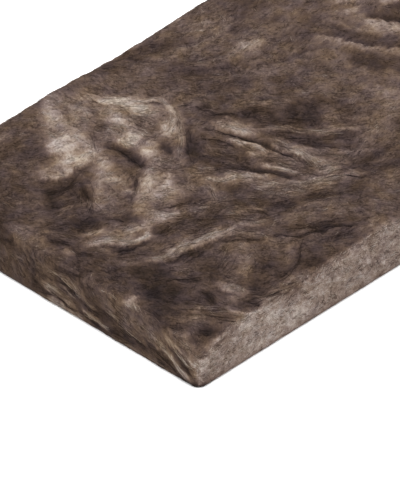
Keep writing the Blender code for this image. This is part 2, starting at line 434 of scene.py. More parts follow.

# Folds of the photographed corner, laid in this order. Each line has the fold's name, its half
# width in pixels, tone, lift in steps, tucked edge (1 near, -1 far, 0 none), and its path in the
# photograph's pixels. Their tones are in part painted light: the sunk cracks, holes, pockets and
# undersides of ridges are painted dark as shade, and the glints and bright spots are painted highlights.
LIFT_STEP_MM = 0.4
TOP_FOLDS = (
    ("far_band", 9, MID, 1, 0, (180, 98), (230, 96), (290, 97), (380, 92)),
    ("far_tan_patch", 8, WARM, 1, 0, (316, 108), (330, 112), (350, 116)),
    ("far_tan_streak", 3.5, WARM, 1, 0, (224, 108), (250, 103), (270, 101), (300, 105)),
    ("far_left_step", 7, MID, 1, 0, (192, 104), (208, 108), (224, 112)),
    ("far_nick", 1.4, DIM, 0, 0, (196, 110), (204, 107), (212, 109)),
    ("far_lens_left", 6, DIM, -3, 0, (236, 117), (256, 112), (278, 112)),
    ("far_lens_right", 8, DARK, -5, -1, (282, 115), (302, 113), (322, 118)),
    ("far_lens_foot", 5, SHADE, -2, 0, (246, 121), (272, 122), (300, 124), (330, 123)),
    ("far_lens_tail", 3, SHADE, -1, 0, (206, 116), (220, 115), (240, 115)),
    ("purple_rise", 9, BROWN, 0, 0, (262, 142), (290, 142), (320, 145), (366, 148)),
    ("ridge_a_near", 7.5, LIGHT, 3, 0, (208, 128), (222, 125), (238, 126), (252, 131), (264, 137)),
    ("ridge_a_light", 3.5, PALE, 1, 0, (214, 127), (228, 126), (242, 130), (256, 135)),
    ("ridge_a_far", 4, TAN, 3, 1, (256, 128), (280, 129), (304, 130), (326, 130), (366, 127)),
    ("ridge_a_glint", 1.6, LIGHT, 1, 0, (308, 132), (320, 132), (334, 131), (356, 129)),
    ("under_a_first", 2.5, DIM, -2, 0, (266, 133), (284, 136), (300, 137), (322, 137), (352, 138)),
    ("under_a_second", 2.5, DIM, -2, 0, (292, 141), (308, 143), (324, 144), (352, 147)),
    ("under_a_tan", 2.5, TAN, 1, 0, (300, 147), (318, 151), (340, 152), (360, 152)),
    ("pocket_floor", 15, DIM, -9, 0, (182, 146), (204, 148), (226, 153), (250, 160)),
    ("pocket_depth", 10, DARK, -4, 0, (193, 136), (190, 146), (197, 157)),
    ("pocket_brown", 6, SHADE, 0, 0, (204, 147), (220, 149), (238, 153)),
    ("pocket_foot", 6, DIM, -2, 0, (210, 164), (228, 166), (252, 165)),
    ("pocket_fleck_one", 2.5, MID, 0, 0, (210, 162), (214, 164), (219, 165)),
    ("pocket_fleck_two", 2, MID, 0, 0, (226, 162), (230, 163), (235, 163)),
    ("pocket_hair", 1.4, WARM, 1, 0, (204, 151), (214, 154), (225, 157)),
    ("pocket_right", 6, SHADE, 0, 0, (266, 157), (282, 161), (302, 166)),
    ("pocket_right_end", 5, MID, 0, 0, (298, 165), (308, 168), (320, 171)),
    ("ridge_c", 4, PALE, 4, 0, (226, 139), (240, 143), (254, 147), (268, 152)),
    ("ridge_c_spot", 2.6, BRIGHT, 1, 0, (251, 145), (259, 148), (267, 151)),
    ("ridge_c_foot", 4, LIGHT, 1, 0, (246, 152), (255, 155), (266, 157)),
    ("ridge_b", 5, LIGHT, 6, 1, (264, 141), (280, 145), (294, 150), (306, 155), (318, 161), (334, 168)),
    ("ridge_b_light", 2.6, PALE, 1, 0, (288, 149), (300, 153), (312, 158), (324, 164)),
    ("ridge_b_crack", 1.6, DEEP, -4, 0, (196, 130), (216, 131), (227, 134), (242, 138), (256, 142),
     (271, 148), (285, 153), (294, 156), (306, 161), (316, 166), (322, 171)),
    ("pocket_rim_crack", 1.3, DARK, -2, 0, (196, 139), (212, 140), (223, 141), (230, 144),
     (238, 147), (248, 149)),
    ("pocket_shelf", 3.5, DIM, -2, 0, (262, 159), (276, 160), (290, 162)),
    ("ridge_d", 2.2, PALE, 4, 0, (263, 166), (275, 167), (287, 169), (300, 173)),
    ("ridge_d_crack", 2.0, DEEP, -4, 0, (238, 168), (254, 170), (269, 172), (285, 175), (297, 178)),
    ("long_crack", 1.5, DARK, -3, 0, (290, 178), (298, 181), (306, 181), (318, 178), (327, 175),
     (342, 174),
     (380, 176)),
    ("shoulder_tan", 6, WARM, 1, 0, (314, 168), (328, 164), (350, 160)),
    ("shoulder_glint", 2.5, LIGHT, 1, 0, (318, 173), (328, 170), (342, 167)),
    ("shelf_left", 5, TAN, 1, 0, (184, 170), (202, 172), (226, 173), (254, 174)),
    ("band_g", 6.5, TAN, 3, 0, (240, 181), (262, 184), (284, 184), (304, 183), (324, 179), (370, 172)),
    ("band_g_low", 5.5, WARM, 1, 0, (244, 196), (266, 193), (290, 190), (318, 187)),
    ("ridge_f", 3.0, PALE, 3, 0, (196, 178), (210, 180), (222, 181), (237, 177), (247, 175), (262, 176),
     (273, 178)),
    ("ridge_f_glint", 1.9, BRIGHT, 1, 0, (212, 180), (222, 181), (232, 179)),
    ("ridge_f_drop", 3.5, TAN, 1, 0, (202, 181), (208, 187), (213, 194), (219, 201)),
    ("band_g_glint", 2, LIGHT, 1, 0, (256, 187), (268, 186), (278, 184)),
    ("band_g_far_glint", 2, LIGHT, 1, 0, (294, 184), (306, 182), (318, 179), (334, 176), (352, 175)),
    ("blot", 4.5, DARK, -5, 0, (226, 186), (234, 189), (243, 187)),
    ("dark_band_right", 7, DIM, -3, 0, (300, 197), (318, 193), (334, 190), (370, 185)),
    ("dark_band_left", 7, DIM, -3, 0, (266, 206), (280, 205), (298, 202)),
    ("plum_band", 6.5, BROWN, 0, 0, (190, 208), (214, 205), (240, 204), (268, 203)),
    ("brown_band", 9, MID, 2, 0, (266, 222), (290, 217), (318, 211), (366, 203)),
    ("brown_band_light", 1.8, TAN, 0, 0, (298, 207), (308, 205), (320, 203)),
    ("brown_band_hair", 1.8, TAN, 0, 0, (282, 219), (300, 216), (320, 216)),
    ("brown_band_foot", 3.5, SHADE, -1, 0, (272, 229), (296, 228), (318, 224), (360, 218)),
    ("wedge", 5, DARK, -4, -1, (152, 234), (166, 229), (180, 222), (198, 215)),
    ("wedge_tail", 4.5, DIM, -2, 0, (186, 220), (202, 220), (224, 217)),
    ("wedge_brown", 5.5, BROWN, 1, 0, (168, 236), (184, 230), (204, 226), (228, 222)),
    ("under_plum", 4.5, MID, 1, 0, (222, 216), (242, 216), (262, 217)),
    ("plum_hair", 1.7, TAN, 1, 0, (218, 214), (236, 211), (252, 209), (266, 211)),
    ("plum_crack", 1.5, DARK, -2, 0, (246, 210), (256, 211), (264, 213), (270, 217)),
    ("left_brown", 12, BROWN, 0, 0, (50, 240), (76, 246), (100, 262), (124, 284), (140, 300)),
    ("plum_hollow", 11, SHADE, -2, 0, (46, 256), (66, 263), (90, 272)),
    ("plum_hollow_edge", 1.8, DARK, -1, 0, (46, 262), (60, 268), (72, 273), (82, 277)),
    ("golden_slope", 8, BROWN, 0, 0, (92, 262), (106, 270), (120, 282)),
    ("golden_fleck", 3, WARM, 0, 0, (100, 260), (103, 264), (101, 269)),
    ("left_slit", 4.5, DARK, -3, 0, (44, 238), (58, 243), (72, 247)),
    ("left_slit_lip", 4, BROWN, 1, 0, (50, 231), (66, 234), (82, 240)),
    ("tuft", 3.5, TAN, 3, 0, (61, 249), (67, 250), (74, 253)),
    ("left_strand", 2.6, DIM, -1, 0, (70, 246), (80, 253), (96, 258)),
    ("dark_field_upper", 8, DARK, -4, 0, (126, 271), (144, 273), (162, 274), (178, 275)),
    ("dark_field_lower", 11, DARK, -3, 0, (138, 289), (158, 290), (184, 291)),
    ("dark_field_foot", 8, DIM, -2, 0, (148, 306), (164, 310), (180, 318)),
    ("under_ridge_one", 5, SHADE, -1, 0, (112, 256), (128, 256), (148, 253)),
    ("under_ridge_one_dark", 3, DARK, -3, 0, (108, 251), (122, 250), (136, 247), (152, 243)),
    ("warm_islet", 6, MID, 1, 0, (172, 270), (184, 272), (198, 274)),
    ("brown_patch", 15, MID, 3, 0, (202, 254), (228, 252), (256, 252), (290, 252)),
    ("brown_fibres", 9, WARM, 2, 0, (262, 246), (252, 262), (238, 278)),
    ("brown_fibres_left", 7, MID, 0, 0, (232, 246), (226, 260), (218, 274)),
    ("brown_fibres_light", 3, TAN, 1, 0, (258, 258), (251, 268), (247, 276)),
    ("brown_patch_right", 6.5, WARM, 2, 0, (288, 243), (288, 254), (283, 265)),
    ("shaded_left", 5, SHADE, -1, 0, (180, 263), (192, 258), (206, 251)),
    ("shaded_lower", 6, BROWN, 0, 0, (196, 272), (206, 277), (216, 283)),
    ("shaded_line", 2, DIM, -1, 0, (213, 270), (210, 277), (209, 284)),
    ("plum_patch", 9, SHADE, -2, 0, (256, 270), (270, 268), (284, 269)),
    ("plum_patch_foot", 6.5, SHADE, -2, 0, (252, 289), (266, 285), (280, 277)),
    ("bowl_crack", 2.4, DARK, -4, 0, (302, 240), (301, 251), (299, 260), (294, 268), (285, 275),
     (276, 281)),
    ("bowl_foot", 2.6, DEEP, -4, 0, (244, 297), (254, 295), (266, 293), (277, 290), (288, 284)),
    ("bowl_nick", 2.6, DARK, -2, 0, (246, 288), (251, 288), (257, 288)),
    ("right_brown", 8, BROWN, 1, 0, (304, 246), (320, 246), (346, 240)),
    ("right_blot", 6, DIM, -3, 0, (303, 264), (313, 263), (324, 259)),
    ("right_light", 3.5, MID, 1, 0, (322, 243), (330, 246), (336, 251)),
    ("rim_over", 5, TAN, 0, 0, (250, 307), (268, 295), (286, 285), (304, 275), (322, 264)),
    ("far_right_shade", 5, DIM, -2, 0, (328, 240), (340, 236), (360, 230)),
    ("ridge_two", 6, LIGHT, 5, 1, (148, 263), (166, 257), (182, 249), (198, 241), (214, 235),
     (230, 229),
     (244, 226)),
    ("ridge_two_foot", 3, TAN, 1, 1, (142, 261), (160, 260), (178, 255), (198, 247)),
    ("ridge_two_light", 3.4, BRIGHT, 2, 0, (192, 241), (206, 237), (220, 232), (232, 228)),
    ("ridge_two_light_left", 2.6, PALE, 1, 0, (164, 255), (178, 249), (192, 243)),
    ("ridge_two_tip", 2, LIGHT, 2, 0, (226, 229), (242, 225), (256, 223), (268, 221)),
    ("ridge_two_lap", 4, WARM, 1, 0, (224, 236), (240, 233), (262, 232)),
    ("lap_hair", 1.3, LIGHT, 1, 0, (254, 230), (261, 233), (269, 238)),
    ("lap_shade", 1.5, SHADE, -1, 0, (226, 237), (240, 236), (252, 237)),
    ("crack_k", 1.5, DARK, -3, 0, (216, 241), (236, 240), (256, 239), (268, 238)),
    ("crack_k_deep", 2, DEEP, -5, 0, (266, 238), (276, 234), (288, 235), (300, 236), (312, 232),
     (324, 229),
     (336, 227), (366, 224)),
    ("crack_k_blot", 3.6, DARK, -2, 0, (316, 229), (324, 228), (332, 227)),
    ("light_fan", 6.5, TAN, 3, 1, (216, 283), (229, 286), (244, 290)),
    ("light_fan_glint", 1.8, LIGHT, 1, 0, (222, 288), (233, 288), (245, 290)),
    ("field_crack", 1.6, DEEP, -2, 0, (162, 283), (176, 281), (190, 281), (204, 279)),
    ("hole_one", 4.5, DARK, -4, 0, (198, 293), (208, 296), (216, 304)),
    ("hole_two", 5.5, DARK, -5, 0, (236, 302), (248, 302), (262, 304)),
    ("low_streaks", 5, WARM, 2, 0, (176, 306), (200, 307), (224, 308), (240, 311)),
    ("low_streak_light", 2, LIGHT, 1, 0, (196, 309), (206, 308), (214, 309)),
    ("low_streak_glint", 2, PALE, 1, 0, (228, 311), (240, 312), (250, 314)),
    ("bright_spot", 3.2, BRIGHT, 2, 0, (242, 319), (248, 316), (255, 312)),
    ("low_line_one", 1.4, DIM, -1, 0, (160, 315), (180, 315), (200, 314), (220, 316), (240, 316)),
    ("low_line_two", 1.3, DIM, -1, 0, (212, 319), (226, 319), (238, 318)),
    ("low_brown", 6, MID, 0, 0, (178, 319), (196, 319), (212, 321)),
    ("golden_brown", 7, MID, 1, 0, (216, 327), (228, 325), (242, 321)),
    ("low_shade", 4, DIM, -2, 0, (156, 325), (172, 325), (188, 324)),
    ("low_grey_hair", 1.6, TAN, 1, 0, (174, 322), (188, 321), (202, 322)),
    ("hole_three", 5.5, DEEP, -5, 0, (199, 330), (207, 331), (217, 332)),
    ("golden_lap", 5, WARM, 2, 0, (162, 331), (176, 334), (192, 335)),
    ("white_tuft", 4.5, BRIGHT, 4, 0, (132, 294), (132, 300), (128, 305)),
    ("white_tuft_foot", 4, LIGHT, 2, 1, (117, 301), (126, 305), (136, 310)),
    ("tuft_hair_one", 1.5, BRIGHT, 1, 0, (131, 295), (132, 302), (131, 309)),
    ("tuft_hair_two", 1.3, PALE, 1, 0, (134, 298), (136, 304), (136, 310)),
    ("tuft_hair_three", 1.3, LIGHT, 1, 0, (122, 302), (128, 305), (134, 310)),
    ("tuft_slope", 5, MID, 0, 0, (136, 306), (148, 314), (158, 322)),
    ("loose_hair", 1.3, LIGHT, 1, 0, (98, 291), (106, 292), (113, 298)),
    ("tip_brown", 8, BROWN, 1, 0, (204, 338), (201, 348), (199, 359)),
    ("tip_left_lap", 3, TAN, 2, 0, (182, 340), (188, 348), (194, 357)),
    ("tip_light", 4.5, PALE, 1, 0, (190, 361), (198, 365), (206, 362)),
    ("mid_band", 7.5, TAN, 2, 0, (82, 237), (100, 233), (122, 230), (142, 227), (158, 224)),
    ("mid_band_light", 3, LIGHT, 1, 0, (85, 237), (92, 233), (99, 229)),
    ("mid_band_right_light", 3, LIGHT, 1, 0, (120, 232), (131, 231), (142, 228)),
    ("ridge_one_foot", 4.5, WARM, 1, 0, (82, 249), (97, 251), (110, 251)),
    ("ridge_one", 4.4, PALE, 5, 1, (83, 247), (98, 243), (112, 241), (126, 243), (138, 242),
     (150, 236)),
    ("ridge_one_tip", 3.2, BRIGHT, 2, 0, (136, 242), (144, 239), (151, 232)),
    ("lumps_floor", 26, TAN, 2, 0, (50, 122), (90, 120), (130, 122), (166, 124)),
    ("lumps_corner", 12, LIGHT, 2, 0, (44, 96), (54, 108), (62, 122)),
    ("lumps_brown", 12, WARM, 1, 0, (64, 106), (80, 112), (98, 122)),
    ("lumps_brown_light", 5, TAN, 1, 0, (72, 109), (82, 110), (92, 112)),
    ("left_slope_upper", 12, PALE, 5, 0, (46, 151), (62, 144), (76, 141), (87, 147)),
    ("left_slope_lower", 10, LIGHT, 7, 1, (36, 176), (50, 172), (66, 167), (78, 161), (91, 154)),
    ("left_slope_light", 6, BRIGHT, 1, 0, (54, 161), (64, 160), (74, 156)),
    ("left_slope_top_light", 6, BRIGHT, 1, 0, (60, 138), (70, 144), (68, 150)),
    ("left_slope_side", 2.5, BROWN, -1, 0, (90, 129), (93, 138), (95, 147), (97, 154)),
    ("left_slope_step", 3, TAN, 0, 0, (44, 130), (52, 134), (58, 138)),
    ("fall_shadow", 5.5, MID, -2, 0, (88, 130), (93, 140), (96, 150)),
    ("mottle", 6, MID, -1, 0, (92, 131), (106, 128), (118, 130), (128, 134)),
    ("mottle_dark", 2.5, SHADE, -1, 0, (96, 130), (103, 127), (110, 128)),
    ("pale_pebble", 5.5, PALE, 2, 0, (109, 118), (117, 121), (126, 125)),
    ("ledge", 4.5, BRIGHT, 2, 1, (96, 100), (108, 101), (118, 102), (132, 103)),
    ("ledge_rim", 1.9, PALE, 1, 0, (128, 104), (142, 101), (153, 99), (162, 101), (170, 107)),
    ("ledge_left_line", 1.5, BROWN, -1, 0, (84, 99), (92, 101), (100, 104)),
    ("ledge_line", 1.3, DIM, -1, 0, (132, 104), (143, 104), (152, 102), (160, 104), (167, 108)),
    ("ledge_low", 6, LIGHT, 2, 0, (120, 107), (136, 109), (152, 108)),
    ("ledge_spot", 4.5, BRIGHT, 2, 0, (133, 106), (138, 110), (143, 114)),
    ("ledge_shade", 5, MID, -2, 0, (120, 112), (134, 118), (148, 121), (158, 123)),
    ("ledge_shade_low", 6, WARM, -1, 0, (124, 124), (140, 128), (156, 134)),
    ("grey_hair", 1.3, PALE, 1, 0, (146, 118), (153, 115), (162, 112)),
    ("pebble_row", 6, LIGHT, 2, 0, (120, 139), (130, 136), (143, 138)),
    ("pebble_glint", 2.4, BRIGHT, 1, 0, (128, 134), (132, 134), (136, 135)),
    ("upright_shade", 5, MID, -2, 0, (148, 128), (154, 135), (158, 142)),
    ("upright_band", 6, PALE, 4, 0, (168, 106), (175, 115), (174, 126), (168, 136)),
    ("upright_column", 4.5, TAN, 1, 0, (180, 112), (181, 130), (181, 146), (179, 163)),
    ("pocket_wall", 3, DARK, -3, 0, (188, 126), (188, 140), (189, 152), (193, 163)),
    ("upright_band_glint", 3.5, BRIGHT, 1, 0, (162, 124), (166, 130), (168, 135)),
    ("bright_lump", 5.5, PALE, 3, 0, (138, 149), (146, 152), (156, 156)),
    ("pale_lump", 4, LIGHT, 2, 0, (145, 143), (151, 146), (158, 150)),
    ("lump_hole", 6.5, SHADE, -3, 0, (162, 140), (165, 147), (168, 153)),
    ("lump_hole_dark", 4.5, DARK, -2, 0, (163, 143), (167, 150), (170, 156)),
    ("fold_lip", 3.6, PALE, 3, 0, (117, 141), (127, 144), (136, 148)),
    ("fold_lip_glint", 2.6, BRIGHT, 1, 0, (130, 134), (134, 138), (137, 143)),
    ("mound_brown", 9, BROWN, 0, 0, (116, 158), (127, 167), (138, 174)),
    ("deep_fold_wide", 6, DARK, -4, 0, (128, 157), (137, 163), (144, 168)),
    ("deep_fold", 3.6, DEEP, -8, 0, (105, 144), (117, 148), (128, 154), (136, 161), (144, 168)),
    ("mixed_floor", 6.5, WARM, 0, 0, (144, 163), (160, 164), (182, 167)),
    ("mound", 13, WARM, 6, 0, (106, 160), (104, 176), (108, 194), (114, 210)),
    ("mound_light", 9, TAN, 2, 0, (101, 157), (106, 168), (106, 179), (99, 190), (101, 202)),
    ("mound_glint", 2.6, PALE, 1, 0, (98, 183), (110, 181), (124, 178)),
    ("mound_rim", 4, TAN, 1, 0, (97, 184), (97, 194), (102, 204)),
    ("mound_low", 8, MID, 0, 0, (99, 209), (112, 207), (124, 207)),
    ("mound_line", 1.6, BROWN, -1, 0, (104, 184), (112, 190), (118, 195)),
    ("mound_crease", 3.2, DIM, -4, 0, (138, 171), (136, 182), (135, 193), (131, 206)),
    ("mound_foot", 5, DARK, -4, 0, (120, 219), (130, 217), (138, 218)),
    ("mound_foot_line", 1.8, DIM, -2, 0, (102, 216), (114, 219), (126, 222)),
    ("fall_between", 7, TAN, 1, 0, (158, 170), (159, 184), (157, 198)),
    ("pale_fall", 11, LIGHT, 4, 0, (151, 168), (149, 182), (146, 195), (141, 206), (143, 217)),
    ("pale_fall_light", 5, PALE, 2, 0, (148, 174), (149, 185), (146, 194)),
    ("pale_fall_right", 4.5, PALE, 2, 0, (168, 172), (167, 182), (164, 192)),
    ("fall_floor", 7, TAN, 1, 0, (158, 198), (174, 196), (188, 193)),
    ("fall_brown", 7, WARM, 0, 0, (182, 181), (190, 185), (200, 190)),
    ("fall_floor_low", 5.5, TAN, 1, 0, (144, 215), (160, 214), (182, 212)),
    ("fall_right", 4.5, DIM, -2, 0, (182, 203), (189, 201), (197, 199)),
    ("floor_crack", 1.6, DIM, -2, 0, (154, 210), (170, 207), (184, 204), (193, 201)),
    ("left_pocket", 15, DIM, -8, 0, (42, 206), (60, 201), (76, 196), (88, 192)),
    ("left_pocket_top", 6, DARK, -4, 0, (42, 194), (56, 189), (70, 184), (82, 178)),
    ("left_pocket_brown", 7, BROWN, 1, 0, (50, 202), (60, 199), (68, 197)),
    ("left_pocket_plum", 7, DIM, -3, 0, (81, 178), (85, 190), (89, 204), (93, 216)),
    ("left_pocket_line", 2, DEEP, -2, 0, (80, 180), (84, 188), (89, 197)),
    ("left_pocket_strand", 3, BROWN, 1, 0, (48, 204), (62, 200), (76, 196)),
    ("left_pocket_light", 3, WARM, 2, 0, (48, 215), (58, 212), (66, 208), (73, 204)),
    ("left_pocket_foot", 7, SHADE, -1, 0, (44, 226), (60, 225), (76, 226)),
    ("left_pocket_depth", 6, DEEP, -6, 1, (70, 220), (82, 224), (92, 224), (100, 220)),
)

# Strata of the cut end, draped down towards the near corner; the dark cracks and gaps between them
# are partly painted shade.
END_FOLDS = (
    ("end_shade", 20, SHADE, 0, 0, (20, 270), (70, 300), (120, 336), (190, 378)),
    ("end_upper", 9, MID, 1, 0, (96, 296), (116, 312), (138, 330), (160, 346)),
    ("end_golden_rim", 5, TAN, 2, 0, (44, 268), (58, 275), (72, 286), (84, 298)),
    ("end_golden_mid", 4.5, TAN, 2, 1, (36, 278), (50, 286), (62, 296), (76, 307)),
    ("end_golden_low", 4.5, TAN, 1, 0, (36, 292), (50, 299), (64, 307), (90, 322)),
    ("end_golden_glint", 2, PALE, 1, 0, (46, 284), (53, 289), (60, 294)),
    ("end_gap_one", 1.7, DARK, -2, 0, (52, 279), (64, 287), (78, 298)),
    ("end_gap_two", 1.7, DARK, -2, 0, (46, 289), (58, 299), (70, 308), (84, 316)),
    ("end_rim_dark", 2, DIM, -1, 0, (46, 264), (60, 271), (76, 279), (88, 290)),
    ("end_loop", 1.8, TAN, 1, 0, (82, 292), (86, 300), (91, 306), (98, 309)),
    ("end_loop_dark", 3.4, DARK, -3, 0, (83, 303), (90, 311), (101, 317)),
    ("end_strand", 2.4, PALE, 2, 1, (80, 310), (92, 317), (102, 325), (112, 331)),
    ("end_dark_run", 4.5, DARK, -2, 0, (92, 324), (106, 332), (120, 338), (138, 347)),
    ("end_brown_run", 5.5, BROWN, 1, 0, (104, 306), (116, 318), (126, 329), (138, 341)),
    ("end_hair_one", 1.4, LIGHT, 1, 0, (100, 306), (110, 314), (121, 323)),
    ("end_hair_two", 1.4, TAN, 1, 0, (112, 318), (124, 328), (136, 340)),
    ("end_low_plum", 5, DIM, -1, 0, (136, 348), (152, 359), (168, 370)),
    ("end_low_brown", 3, BROWN, 0, 0, (112, 344), (130, 353), (150, 365)),
    ("end_line_one", 1.3, PALE, 1, 0, (52, 270), (62, 279), (72, 289), (82, 300)),
    ("end_line_two", 1.3, LIGHT, 1, 0, (61, 284), (69, 292), (77, 299)),
    ("end_line_three", 1.3, PALE, 1, 0, (80, 306), (90, 315), (100, 323), (109, 330)),
    ("end_line_four", 1.2, LIGHT, 1, 0, (116, 320), (130, 333), (142, 344)),
    ("end_crack_one", 1.4, DEEP, -2, 0, (56, 277), (68, 287), (80, 298)),
    ("end_crack_two", 1.4, DEEP, -2, 0, (80, 311), (92, 321), (106, 331)),
    ("end_crack_three", 1.5, DEEP, -2, 0, (112, 316), (124, 328), (136, 340), (150, 351)),
    ("end_crack_four", 1.5, DARK, -2, 0, (142, 335), (154, 348), (166, 361), (180, 375)),
    ("end_tuft", 3.4, TAN, 2, 0, (137, 320), (141, 325), (146, 331)),
    ("end_tan_run", 4, WARM, 1, 0, (146, 330), (158, 342), (170, 354)),
    ("end_corner_dark", 4.5, DARK, -2, 0, (152, 354), (163, 365), (176, 377), (188, 386)),
    ("end_long_pale", 2.0, PALE, 3, 0, (152, 338), (164, 349), (174, 360), (182, 371), (190, 382)),
    ("end_long_glint", 1.4, BRIGHT, 1, 0, (168, 353), (176, 362), (183, 372)),
    ("end_second_dark", 3.0, DARK, -2, 0, (170, 349), (180, 360), (191, 373)),
    ("end_second_pale", 1.6, PALE, 2, 0, (160, 333), (171, 342), (181, 352), (190, 360), (198, 367)),
    ("end_second_glint", 1.2, BRIGHT, 1, 0, (172, 344), (181, 352), (190, 360)),
)

# The slit side: pale, with a darker foot and a warmer near corner.
SIDE_FOLDS = (
    ("side_foot", 5, WARM, 0, 0, (200, 392), (236, 369), (290, 336), (352, 297), (420, 255)),
    ("side_near", 10, TAN, 0, 0, (204, 378), (222, 366), (244, 352)),
    ("side_near_dark", 4, WARM, 0, 0, (204, 385), (216, 378), (230, 368)),
    ("side_rim", 4, PALE, 0, 0, (212, 344), (230, 332), (246, 320), (264, 308)),
    ("side_rim_grey", 4, WARM, 0, 0, (274, 292), (288, 287), (306, 280)),
    ("side_light", 7, PALE, 0, 0, (252, 326), (276, 314), (310, 296), (350, 272)),
)
